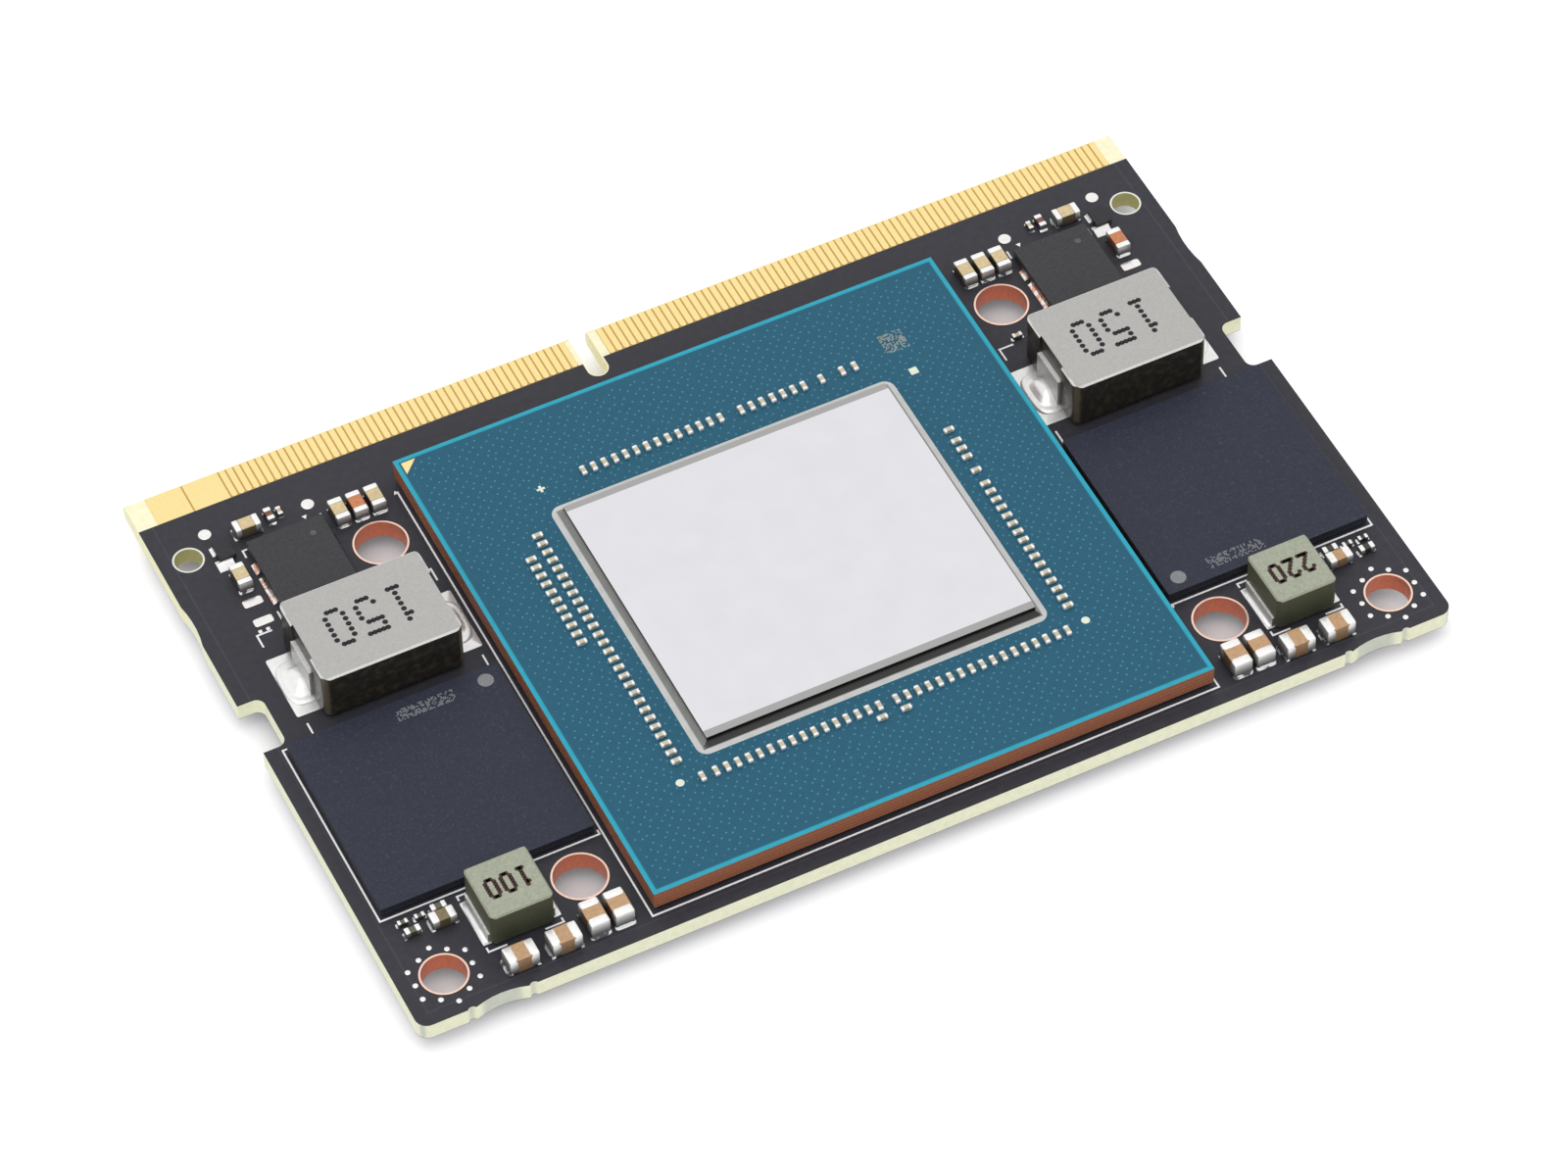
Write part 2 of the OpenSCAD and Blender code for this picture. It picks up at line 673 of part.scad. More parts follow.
// Bent strap on the end of a core: a foot under it and a leg that starts at x = 0 and goes up
module strap(foot, leg, t, w) {
    rotate([90, 0, 0]) linear_extrude(w, center = true)
        polygon([[-foot, 0], [t, 0], [t, leg], [0, leg], [0, t], [-foot, t]]);
}

// Row of lands along the two long sides of a package
module land_rows(size) {
    count = floor((size[0] - 2 * (lead_in + lead_w)) / lead_pitch) + 1;
    for (s = [-1, 1], i = [0 : count - 1])
        translate([(i - (count - 1) / 2) * lead_pitch, s * (size[1] + lead_out - lead_in) / 2, 0])
            block(lead_w, lead_in + lead_out, land_t);
}

module dash(x0, y0, x1, y1) {
    half = print_w / 2;
    translate([min(x0, x1) - half, min(y0, y1) - half])
        square([abs(x1 - x0) + print_w, abs(y1 - y0) + print_w]);
}

// Board

// Disc whose rim cuts a shallow scallop into an edge along y = 0
module scallop(w, rise) {
    r = (w * w / 4 + rise * rise) / (2 * rise);
    translate([0, rise - r]) circle(r, $fn = 96);
}

module latch_notch() {
    straight = latch_depth - latch_r;
    translate([side_edge, contact_edge - latch_y]) {
        translate([-straight, -latch_w / 2]) square([straight + overshoot, latch_w]);
        translate([-latch_depth, latch_r - latch_w / 2]) square([latch_depth, latch_w - 2 * latch_r]);
        for (s = [-1, 1]) translate([-straight, s * (latch_w / 2 - latch_r)]) circle(latch_r);
    }
}

module key_slot() {
    translate([key_x - key_w / 2, contact_edge - key_depth + key_w / 2]) square([key_w, key_depth]);
    translate([key_x, contact_edge - key_depth + key_w / 2]) circle(key_w / 2);
}

module break_off_scallops() {
    translate([side_edge - tab_inset, plain_edge]) {
        scallop(tab_w, tab_rise);
        for (s = [-1, 1]) translate([s * (tab_w / 2 + bite_r), -bite_r / 2]) circle(bite_r);
    }
    translate([side_edge, contact_edge - wave_y]) rotate(90) scallop(wave_w, wave_rise);
}

module board_outline() {
    difference() {
        union() {
            translate([-side_edge, plain_edge + corner_r]) square([board_l, board_w - corner_r]);
            translate([corner_r - side_edge, plain_edge]) square([board_l - 2 * corner_r, board_w / 2]);
            both_sides() translate([side_edge - corner_r, plain_edge + corner_r]) circle(corner_r);
        }
        both_sides() latch_notch();
        both_sides() break_off_scallops();
        key_slot();
    }
}

module screw_holes() {
    both_sides() translate([mount_x, mount_y]) circle(mount_hole_r + plating);
    for (y = [heatsink_near_y, heatsink_far_y])
        both_sides() translate([heatsink_x, y]) circle(heatsink_bore_r);
}

module tooling_holes(r) {
    both_sides() translate([tool_x, tool_y]) circle(r);
}

// Cut along the contact edge that leaves a bevel below the upper face
module bevel_cut() {
    rotate([90, 0, 90]) linear_extrude(board_l + 2 * overshoot, center = true)
        polygon([
            [contact_edge - bevel, laminate_top],
            [contact_edge + overshoot, laminate_top - bevel - overshoot],
            [contact_edge + overshoot, laminate_top + overshoot],
            [contact_edge - bevel, laminate_top + overshoot]]);
}

module board() {
    color("#dcdcae") difference() {
        translate([0, 0, board_z]) linear_extrude(board_t) difference() {
            board_outline();
            screw_holes();
            tooling_holes(tool_hole_r);
        }
        bevel_cut();
        translate([0, 0, board_z + laminate_top]) mirror([0, 0, 1]) bevel_cut();
    }
}

module mask_film() {
    linear_extrude(mask_t) difference() {
        board_outline();
        translate([-side_edge - overshoot, mask_edge]) square([board_l + 2 * overshoot, board_w]);
        screw_holes();
        tooling_holes(tool_hole_r + tool_clear);
    }
}

module top_solder_mask() {
    color("#3b3c42") translate([0, 0, laminate_top]) mask_film();
}

module bottom_solder_mask() {
    color("#3b3c42") translate([0, 0, bottom_z]) mask_film();
}

// Card edge

module finger(x) {
    r = contact_w / 2;
    translate([x, mask_edge, 0]) linear_extrude(contact_t) {
        translate([-r, r]) square([contact_w, contact_strip - bevel - r]);
        translate([0, r]) circle(r);
    }
}

module contact_row() {
    short_x = key_x - key_to_short;
    long_x = key_x + key_to_long;
    for (i = [0 : single_count - 1]) finger(short_x - i * contact_pitch);
    for (i = [0 : long_side_count - 1]) finger(long_x + i * contact_pitch);
    for (k = [0 : wide_pad_count - 1]) {
        first = single_count + k * wide_pad_span;
        middle = short_x - (first + (wide_pad_span - 1) / 2) * contact_pitch;
        translate([middle - wide_pad_w / 2, mask_edge, 0])
            cube([wide_pad_w, contact_strip - bevel, contact_t]);
    }
}

module top_contacts() {
    color("#f2d58c") translate([0, 0, laminate_top]) contact_row();
}

module bottom_contacts() {
    color("#f2d58c") translate([0, 0, board_z - contact_t]) contact_row();
}

// Plated holes and bare solder

module barrel(r) {
    translate([0, 0, bottom_z - land_t]) difference() {
        cylinder(r = r + plating, h = top_z - bottom_z + 2 * land_t);
        translate([0, 0, -overshoot]) cylinder(r = r, h = top_z - bottom_z + 2 * land_t + 2 * overshoot);
    }
}

module mounting_hole_barrels() {
    color("#d9785a") both_sides() translate([mount_x, mount_y, 0]) barrel(mount_hole_r);
}

module heatsink_hole_barrels() {
    color("#d9785a") for (y = [heatsink_near_y, heatsink_far_y])
        both_sides() translate([heatsink_x, y, 0]) barrel(heatsink_hole_r);
}

module ground_dots() {
    color("white") both_sides() translate([mount_x, mount_y, top_z]) for (i = [0 : dot_count - 1]) {
        ring_r = dot_ring_r + (i % 2 == 0 ? -dot_stagger : dot_stagger);
        rotate(i * 360 / dot_count) translate([ring_r, 0, 0]) cylinder(r = dot_r, h = land_t);
    }
}

module test_pads() {
    color("white") translate([0, 0, top_z]) {
        both_sides() for (p = round_pad_places)
            translate([stage_x + p[0], stage_y + p[1], 0]) cylinder(r = round_pad_r, h = land_t);
        both_sides() translate([column_x, pad_y, 0]) linear_extrude(land_t) round_rect(pad_l, pad_w, pad_r);
        translate([-column_x, pad_y - pad_step, 0]) linear_extrude(land_t) round_rect(pad_l, pad_w, pad_r);
        for (s = [-1, 1])
            translate([-column_x - speck_l + s * speck_l, pad_y - pad_step - pad_w / 2 - 1.5 * speck_l, 0])
                block(speck_l, speck_l, land_t);
    }
}

// Printed marks

module soc_print() {
    half = soc_l / 2 + soc_print_gap;
    stop = soc_y + half - soc_print_gap - 2 * hook_l;
    dash(-half, soc_y - half, -half, stop);
    dash(-half, soc_y - half, half, soc_y - half);
    dash(half, soc_y - half, half, soc_y + half);
    dash(half, soc_y + half, 2 * hook_l - half, soc_y + half);
    translate([-half - print_w, stop]) rotate(90) circle(triangle_l / 2, $fn = 3);
}

module memory_print() {
    half = memory_l / 2 + memory_print_gap;
    translate([memory_x, memory_y]) {
        dash(half, -half, half, half);
        dash(half, half, half - hook_l, half);
        dash(-half, -half, half, -half);
        dash(-half, -half, -half, hook_l / 2 - half);
    }
}

// Triangle at the first-contact corner of each memory package, which lie turned by half a turn
module memory_corner_marks() {
    half = memory_l / 2 + memory_print_gap + triangle_l / 4;
    for (s = [-1, 1])
        translate([s * memory_x, memory_y]) rotate(s > 0 ? 0 : 180) translate([triangle_l - half, -half])
            rotate(-90) circle(triangle_l / 2, $fn = 3);
}

module coil_print() {
    translate([coil_x, coil_y]) for (s = [-1, 1]) {
        dash(s * coil_print_x, coil_print_y, s * coil_print_x, coil_print_y - coil_mark_l);
        dash(s * coil_print_x, coil_print_y, s * (coil_print_x - coil_mark_l), coil_print_y);
        dash(s * coil_print_x, -coil_dash_y, s * coil_print_x, -coil_dash_y - coil_mark_l);
    }
}

module choke_print() {
    translate([choke_x, choke_y]) for (sx = [-1, 1], sy = [-1, 1]) {
        dash(sx * choke_print_x, sy * choke_print_y, sx * (choke_print_x - choke_mark_l), sy * choke_print_y);
        dash(sx * choke_print_x, sy * choke_print_y, sx * choke_print_x, sy * (choke_print_y - hook_l / 2));
    }
}

module stage_print() {
    outer = stage_x + stage_l / 2 + hook_l / 2;
    inner = stage_x - stage_l / 2 - hook_l / 4;
    near = stage_y - stage_w / 2;
    far = stage_y + stage_w / 2;
    dash(outer, far, outer - hook_l / 2, far);
    dash(outer, far, outer, far - hook_l);
    dash(outer, near + hook_l, outer, near);
    dash(inner, far + hook_l, inner, far);
    translate([stage_x - stage_l / 2 + 1.5 * hook_l, far + 2 * triangle_l]) rotate(-90)
        circle(triangle_l / 2, $fn = 3);
}

module top_silkscreen() {
    color("white") translate([0, 0, top_z]) linear_extrude(print_t) {
        soc_print();
        both_sides() memory_print();
        memory_corner_marks();
        both_sides() coil_print();
        both_sides() choke_print();
        both_sides() stage_print();
    }
}

// Processor

module processor_substrate() {
    color("#9a5a3c") translate([0, soc_y, top_z + soc_ball_h]) block(soc_l, soc_l, soc_t);
}

module processor_solder_mask() {
    color("#2f6a86") translate([0, soc_y, soc_top - soc_mask_t]) block(soc_l, soc_l, soc_mask_t);
}

module processor_die() {
    edge = die_w / 2;
    color("#dcd9e0") translate([0, soc_y, soc_top]) rotate([90, 0, 90]) linear_extrude(die_l, center = true)
        polygon([
            [-edge, 0], [edge, 0], [edge, die_t - die_drop],
            [edge - die_band, die_t], [die_band - edge, die_t], [-edge, die_t - die_drop]]);
}

// Hollow quarter fillet, with the die's wall at x = 0
module underfill_profile() {
    polygon(concat([[0, 0]],
        [for (a = [0 : 18 : 90]) [underfill_w * (1 - sin(a)), underfill_h * (1 - cos(a))]]));
}

module underfill_side(length, offset) {
    translate([0, offset, 0]) rotate([90, 0, 90]) linear_extrude(length, center = true) underfill_profile();
}

module processor_underfill() {
    color("#b9b9bd") translate([0, soc_y, soc_top]) {
        for (turn = [0, 180]) rotate(turn) underfill_side(die_l, die_w / 2);
        for (turn = [90, 270]) rotate(turn) underfill_side(die_w, die_l / 2);
        for (side = [0, 1]) mirror([0, side, 0]) both_sides()
            translate([die_l / 2, die_w / 2, 0]) rotate_extrude(angle = 90) underfill_profile();
    }
}

module processor_capacitor_bodies() {
    length = soc_cap_l * (1 - 2 * end_share);
    color("#a98f68") at(soc_spots, soc_top + end_t)
        block(length, soc_cap_w - 2 * end_t, soc_cap_h - 2 * end_t);
}

module processor_capacitor_ends() {
    length = soc_cap_l * end_share;
    color("silver") at(soc_spots, soc_top) for (s = [-1, 1])
        translate([s * (soc_cap_l - length) / 2, 0, 0]) block(length, soc_cap_w, soc_cap_h);
}

module processor_fiducials() {
    color("#dfe8d6") translate([0, soc_y, soc_top]) linear_extrude(print_t) {
        translate(cross_place) square([mark_d, cross_w], center = true);
        translate(cross_place) square([cross_w, mark_d], center = true);
        translate(square_place) square(mark_d, center = true);
        for (p = disc_places) translate(p) circle(d = mark_d);
    }
}

module processor_pin_mark() {
    corner = soc_l / 2 - pin_mark_inset;
    color("#f2c95c") translate([-corner, soc_y + corner, soc_top]) linear_extrude(print_t)
        polygon([[0, 0], [0, -pin_mark_l], [pin_mark_l, 0]]);
}

module processor_solder_balls() {
    last = soc_ball_count - 1;
    core_first = (soc_ball_count - soc_core_balls) / 2;
    core_last = core_first + soc_core_balls - 1;
    color("silver") translate([0, soc_y, top_z]) for (i = [0 : last], j = [0 : last]) {
        rim = min(i, j, last - i, last - j) < soc_ball_rows;
        core = min(i, j) >= core_first && max(i, j) <= core_last;
        if (rim || core)
            translate([(i - last / 2) * soc_ball_pitch, (j - last / 2) * soc_ball_pitch, 0])
                ball(soc_ball_r, soc_ball_h);
    }
}

// Memory

module memory_package() {
    translate([memory_x, memory_y, top_z + memory_ball_h])
        linear_extrude(memory_t) round_rect(memory_l, memory_l, package_r);
}

module memory_right() {
    color("#33353f") memory_package();
}

module memory_left() {
    color("#33353f") mirror([1, 0, 0]) memory_package();
}

module memory_solder_balls() {
    last = memory_ball_grid - 1;
    color("silver") both_sides() translate([memory_x, memory_y, top_z])
        for (i = [0 : last], j = [0 : last])
            if (min(i, last - i) < memory_ball_bank)
                translate([(i - last / 2) * memory_ball_pitch, (j - last / 2) * memory_ball_pitch, 0])
                    ball(memory_ball_r, memory_ball_h);
}

// Power stages

module stage_package() {
    translate([stage_x, stage_y, top_z]) package([stage_l, stage_w, stage_h], stage_r);
}

module power_stage_right() {
    color("#3a3a3e") stage_package();
}

module power_stage_left() {
    color("#3a3a3e") mirror([1, 0, 0]) stage_package();
}

module power_stage_leads() {
    color("#d9a080") both_sides() translate([stage_x, stage_y, top_z]) for (lead = stage_leads, s = [0, 1])
        mirror([s, 0, 0]) translate([stage_l / 2, lead[0], 0])
            solder_joint(lead[1], stage_lead_depth, stage_solder[0], stage_solder[1]);
}

// Large inductors

module coil_core() {
    groove = coil_strap_t / 2;
    height = coil_h - coil_strap_t;
    translate([coil_x, coil_y, top_z + land_t + coil_strap_t]) difference() {
        pressed_core(coil_l, coil_w, height, coil_r, coil_chamfer);
        for (s = [-1, 1]) translate([s * coil_l / 2, 0, -overshoot])
            block(2 * groove, coil_strap_w + 2 * coil_strap_clear, height + 2 * overshoot);
    }
}

module large_inductor_right() {
    color("#8f8c88") coil_core();
}

module large_inductor_left() {
    color("#8f8c88") mirror([1, 0, 0]) coil_core();
}

module large_inductor_straps() {
    color("silver") both_sides() translate([coil_x, coil_y, top_z + land_t]) for (s = [0, 180])
        rotate(s) translate([(coil_l - coil_strap_t) / 2, 0, 0])
            strap(coil_strap_foot, coil_strap_h, coil_strap_t, coil_strap_w);
}

module large_inductor_solder() {
    start = -coil_strap_foot;
    inset = coil_strap_t / 2;
    color("white") both_sides() translate([coil_x, coil_y, top_z]) for (s = [0, 180])
        rotate(s) translate([coil_l / 2, 0, 0]) {
            linear_extrude(land_t) {
                translate([start, -coil_land_w / 2])
                    square([coil_land - coil_land_step[0] - start, coil_land_w]);
                translate([start, coil_land_step[1] - coil_land_w / 2])
                    square([coil_land - start, coil_land_w - 2 * coil_land_step[1]]);
            }
            translate([inset, 0, 0]) solder_joint(coil_strap_w, inset, coil_solder[0], coil_solder[1]);
        }
}

// Small inductors

module choke_core() {
    translate([choke_x, choke_y, top_z + land_t + choke_strap_t])
        pressed_core(choke_l, choke_w, choke_h - choke_strap_t, choke_r, choke_chamfer);
}

module small_inductor_right() {
    color("#7d8269") choke_core();
}

module small_inductor_left() {
    color("#7d8269") mirror([1, 0, 0]) choke_core();
}

module small_inductor_straps() {
    color("silver") both_sides() translate([choke_x, choke_y, top_z + land_t]) for (s = [0, 180])
        rotate(s) translate([choke_l / 2, 0, 0])
            strap(choke_strap_foot, choke_strap_h, choke_strap_t, choke_strap_w);
}

module small_inductor_solder() {
    start = -choke_strap_foot;
    width = choke_strap_w + 2 * chip_gap;
    color("white") both_sides() translate([choke_x, choke_y, top_z]) for (s = [0, 180])
        rotate(s) translate([choke_l / 2, 0, 0]) {
            translate([start, -width / 2, 0]) cube([choke_land - start, width, land_t]);
            translate([choke_strap_t, 0, 0])
                solder_joint(choke_strap_w, choke_strap_t, choke_solder[0], choke_solder[1]);
        }
}

// Chip capacitors and diodes of the upper side

module beige_capacitors() {
    color("#d6bf94") at(beige_spots) chip_body(input_cap);
}

module orange_capacitors() {
    color("#c98457") at(orange_spots) chip_body(input_cap);
}

module output_capacitors() {
    color("#b07d4f") at(output_spots) chip_body(output_cap);
}

module olive_capacitor() {
    color("#7a6f45") at(olive_spots) chip_body(filter_cap);
}

module brown_capacitor() {
    color("#b48a60") at(brown_spots) chip_body(filter_cap);
}

module small_capacitors() {
    color("#6b4a38") at(small_spots) chip_body(small_cap);
}

module tiny_capacitors() {
    color("#c2a878") at(tiny_spots) chip_body(tiny_cap);
}

module capacitor_ends() {
    color("silver") {
        at(concat(beige_spots, orange_spots)) chip_ends(input_cap);
        at(output_spots) chip_ends(output_cap);
        at(concat(olive_spots, brown_spots)) chip_ends(filter_cap);
        at(small_spots) chip_ends(small_cap);
        at(tiny_spots) chip_ends(tiny_cap);
    }
}

module capacitor_solder() {
    color("white") {
        at(concat(beige_spots, orange_spots)) chip_solder(input_cap);
        at(output_spots) chip_solder(output_cap);
        at(concat(olive_spots, brown_spots)) chip_solder(filter_cap);
        at(small_spots) chip_solder(small_cap);
        at(tiny_spots) chip_solder(tiny_cap);
    }
}

module diodes() {
    color("#26272b") both_sides() translate([diode_x, diode_y, top_z]) package(diode);
}

module diode_terminals() {
    depth = diode_l / 4;
    climb = diode_h / 2;
    side_w = diode_w / 2;
    color("white") for (s = [-1, 1]) translate([s * diode_x, diode_y, top_z]) {
        translate([-depth, -diode_w / 2, 0]) rotate(-90)
            solder_joint(diode_l, depth, diode_solder_l, climb);
        translate([-diode_l / 2, (diode_w - side_w) / 2, 0]) rotate(180)
            solder_joint(side_w, depth, 2 * chip_gap, climb);
    }
}

// Underside

module bulk_capacitors() {
    length = bulk_cap_l - 2 * bulk_end_t;
    color("#2e2c2a") hung() at(bulk_spots, land_t)
        linear_extrude(bulk_cap_h) round_rect(length, bulk_cap_w, package_r);
}

module bulk_capacitor_terminals() {
    leg = bulk_cap_h / 2;
    color("silver") hung() at(bulk_spots, land_t) for (s = [0, 180])
        rotate(s) translate([bulk_cap_l / 2 - bulk_end_t, 0, 0])
            translate([bulk_end_t / 2, 0, 0]) block(bulk_end_t, bulk_cap_w * bulk_end_share, leg);
}

module bulk_capacitor_solder() {
    color("white") hung() at(bulk_spots, 0) for (s = [0, 180])
        rotate(s) translate([bulk_cap_l / 2, 0, 0])
            solder_joint(bulk_cap_w * bulk_end_share, bulk_land_depth, fillet_reach, bulk_cap_h / 3);
}

module decoupling_capacitors() {
    color("#a98f68") hung() at(decap_spots, 0) chip_body(small_cap);
}

module decoupling_capacitor_ends() {
    color("silver") hung() at(decap_spots, 0) chip_ends(small_cap);
}

module decoupling_capacitor_solder() {
    color("white") hung() at(decap_spots, 0) chip_solder(small_cap);
}

module power_controller() {
    color("#2e2f33") hung() translate([controller_x, service_y, 0]) package(controller);
}

module boot_flash() {
    color("#2e2f33") hung() translate([flash_x, service_y, 0]) package(flash);
}

module identity_memory() {
    color("#2e2f33") hung() translate([identity_x, service_y, 0]) package(identity);
}

module power_monitors() {
    color("#2e2f33") hung() both_sides() translate([monitor_x, soc_y, 0]) package(monitor);
}

module package_lands() {
    color("white") hung() {
        for (turn = [0, 90]) translate([controller_x, service_y, 0]) rotate(turn) land_rows(controller);
        translate([flash_x, service_y, 0]) land_rows(flash);
        translate([identity_x, service_y, 0]) land_rows(identity);
        both_sides() for (turn = [0, 90]) translate([monitor_x, soc_y, 0]) rotate(turn) land_rows(monitor);
        translate([crystal_x, service_y, 0]) land_rows([crystal_l, crystal_w]);
    }
}

module clock_crystal_base() {
    color("#8d8a80") hung() translate([crystal_x, service_y, 0])
        package([crystal_l, crystal_w, crystal_h - crystal_lid_t]);
}

module clock_crystal_lid() {
    rim = 2 * package_r;
    color("silver") hung() translate([crystal_x, service_y, crystal_h - crystal_lid_t])
        package([crystal_l - 2 * rim, crystal_w - 2 * rim, crystal_lid_t]);
}

board();
top_solder_mask();
bottom_solder_mask();
top_contacts();
bottom_contacts();
mounting_hole_barrels();
heatsink_hole_barrels();
ground_dots();
test_pads();
top_silkscreen();
processor_substrate();
processor_solder_mask();
processor_die();
processor_underfill();
processor_capacitor_bodies();
processor_capacitor_ends();
processor_fiducials();
processor_pin_mark();
processor_solder_balls();
memory_left();
memory_right();
memory_solder_balls();
power_stage_left();
power_stage_right();
power_stage_leads();
large_inductor_left();
large_inductor_right();
large_inductor_straps();
large_inductor_solder();
small_inductor_left();
small_inductor_right();
small_inductor_straps();
small_inductor_solder();
beige_capacitors();
orange_capacitors();
output_capacitors();
olive_capacitor();
brown_capacitor();
small_capacitors();
tiny_capacitors();
capacitor_ends();
capacitor_solder();
diodes();
diode_terminals();
bulk_capacitors();
bulk_capacitor_terminals();
bulk_capacitor_solder();
decoupling_capacitors();
decoupling_capacitor_ends();
decoupling_capacitor_solder();
power_controller();
boot_flash();
identity_memory();
power_monitors();
package_lands();
clock_crystal_base();
clock_crystal_lid();
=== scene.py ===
"""System on module: finishes, fine shapes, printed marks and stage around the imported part.

Laid out as an add-on and run as a script. All lengths are in metres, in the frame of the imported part.
"""

from math import cos, pi, radians, sin

import bmesh
import bpy
import numpy as np
from bpy.props import FloatProperty, FloatVectorProperty, PointerProperty, StringProperty
from mathutils import Matrix, Vector


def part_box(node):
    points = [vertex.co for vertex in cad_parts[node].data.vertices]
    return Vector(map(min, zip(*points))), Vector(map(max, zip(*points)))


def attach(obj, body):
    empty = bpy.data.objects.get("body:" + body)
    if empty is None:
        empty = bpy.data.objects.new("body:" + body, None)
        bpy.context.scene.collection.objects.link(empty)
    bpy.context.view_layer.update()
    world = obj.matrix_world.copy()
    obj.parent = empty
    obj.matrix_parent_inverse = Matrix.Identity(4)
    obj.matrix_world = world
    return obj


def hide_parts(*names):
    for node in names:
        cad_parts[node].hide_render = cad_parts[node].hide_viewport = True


bl_info = {
    "name": "System on module",
    "version": (1, 0, 0),
    "blender": (4, 5, 0),
    "location": "3D View > Sidebar > Module",
    "description": "Finishes, marks and stage for a card-edge system on module",
    "category": "Object",
}

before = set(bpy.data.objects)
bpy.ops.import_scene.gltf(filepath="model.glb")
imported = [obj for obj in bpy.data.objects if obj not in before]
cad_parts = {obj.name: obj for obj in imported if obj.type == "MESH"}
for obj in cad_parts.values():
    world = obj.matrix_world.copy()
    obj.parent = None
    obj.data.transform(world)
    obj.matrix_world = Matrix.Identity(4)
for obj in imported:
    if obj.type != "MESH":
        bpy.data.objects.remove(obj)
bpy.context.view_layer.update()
MM = 0.001
WELD = 1e-6

# Thickness of solder lands and ink, height of the tallest chips, and width of a soft edge between two colours
LAND = 0.05 * MM
INK = 0.003 * MM
CHIP_HEIGHT = 1.2 * MM
SOFT = 0.05 * MM

# Size of the waver of a laminate's layers, and swing of a grain's tone for a contrast of 1
LAYER_WAVER = MM / 0.9
GRAIN_SWING = 4

# Where a surface's direction begins to count as upward or as leftward, and where it does so in full
LOOKS_UP = (0.35, 0.85)
# Walls that look left get more painted shade in paint_wall_shade
LOOKS_LEFT = (-0.3, -0.8)

# Finishes: roughness, metallic share, specular level, and the grain's size (mm), contrast and relief (mm)
SURFACES = {
    "Glass laminate": (0.55, 0, 0.5, 0.4, 0.06, 0.003),
    "Board solder mask": (0.42, 0, 0.25, 0.5, 0.12, 0.003),
    "Gold plating": (0.3, 1, 0.5, 0.25, 0.025, 0.001),
    "Plated copper": (0.35, 1, 0.5, 0.2, 0.1, 0),
    "Solder": (0.3, 0.6, 0.5, 0.3, 0.06, 0.005),
    "Pad solder": (0.25, 0.8, 0.5, 0.3, 0.05, 0.004),
    "Lead solder": (0.3, 1, 0.5, 0.2, 0.1, 0.01),
    "Printed ink": (0.7, 0, 0.2, 0.12, 0.1, 0),
    "Carrier film": (0.34, 0, 0.28, 0.6, 0.06, 0.002),
    "Carrier laminate": (0.6, 0, 0.5, 0.15, 0.25, 0.005),
    "Carrier capacitor ceramic": (0.45, 0, 0.5, 0.1, 0.12, 0),
    "Carrier code": (0.5, 0, 0.5, 0.2, 0.1, 0),
    "Alignment marks": (0.4, 0, 0.5, 0.2, 0.08, 0),
    "Silicon": (0.14, 1, 0.5, 2.5, 0.02, 0),
    "Underfill resin": (0.22, 0, 0.5, 0.8, 0.08, 0),
    "Tin plating": (0.36, 0.45, 0.5, 0.2, 0.06, 0.003),
    "Strap tin": (0.36, 0.45, 0.5, 0.2, 0.12, 0.004),
    "Memory mould": (0.5, 0, 0.27, 0.4, 0.1, 0.006),
    "Memory marks": (0.6, 0, 0.2, 0.15, 0.15, 0),
    "Power stage mould": (0.5, 0, 0.32, 0.2, 0.2, 0.008),
    "Stage mark": (0.5, 0, 0.3, 0.1, 0.15, 0),
    "Large pressed core": (0.34, 0, 0.45, 0.14, 0.08, 0.007),
    "Small pressed core": (0.5, 0, 0.25, 0.16, 0.14, 0.012),
    "Inductor ink": (0.6, 0, 0.2, 0.1, 0.15, 0),
    "Ceramic": (0.4, 0, 0.5, 0.25, 0.14, 0.004),
    "Bulk capacitor mould": (0.45, 0, 0.5, 0.3, 0.2, 0.006),
    "Package mould": (0.5, 0, 0.4, 0.2, 0.2, 0.008),
    "Crystal ceramic": (0.5, 0, 0.5, 0.2, 0.12, 0),
    "Crystal lid": (0.3, 1, 0.5, 0.3, 0.08, 0),
    "Floor": (0.9, 0, 0.1, 400, 0.004, 0),
}

# Solder skirts: rim and fall to both sides as shares of the height, and rings as shares of the outline
SKIRT_FOOT = 0.1
SKIRT_SAG = 0.25
SKIRT_RINGS = [0, 1, 1, 0.85, 0.65, 0.45, 0.25, 0]

# Profiles of mounds, as [share of the outline, share of the height] from the middle of the floor to the top
DOME = [[0, 0], [1, 0], [1, 0.25], [0.94, 0.5], [0.8, 0.75], [0.5, 0.95], [0, 1]]
SLAB = [[0, 0], [1, 0], [1, 0.8], [0.985, 1], [0, 1]]
RIPPLED = [[0, 0], [1, 0], [1, 0.08], [0.95, 0.22], [0.86, 0.3], [0.76, 0.27], [0.66, 0.36], [0.5, 0.66],
           [0.3, 0.92], [0, 1]]

# Rows of the numbers on a five-by-seven dot matrix, from the top down, as bits
DIGITS = {"0": (14, 17, 17, 17, 17, 17, 14), "1": (4, 12, 4, 4, 4, 4, 14), "2": (14, 17, 1, 2, 4, 8, 31),
          "5": (31, 16, 30, 1, 1, 17, 14)}
ADVANCE = 7


# Property helpers

def shade(code):
    """Linear colour of a six-digit screen colour."""
    channels = [int(code[i:i + 2], 16) / 255 for i in (1, 3, 5)]
    return tuple(c / 12.92 if c <= 0.04045 else ((c + 0.055) / 1.055) ** 2.4 for c in channels)


def paint(code, words):
    """Colour property with a screen colour as its default."""
    return FloatVectorProperty(description=words, subtype="COLOR", size=3, min=0, max=1, default=shade(code))


def length(millimetres, words):
    """Length property whose default is given in millimetres."""
    return FloatProperty(description=words, unit="LENGTH", subtype="DISTANCE", min=0, precision=6,
                         default=millimetres * MM)


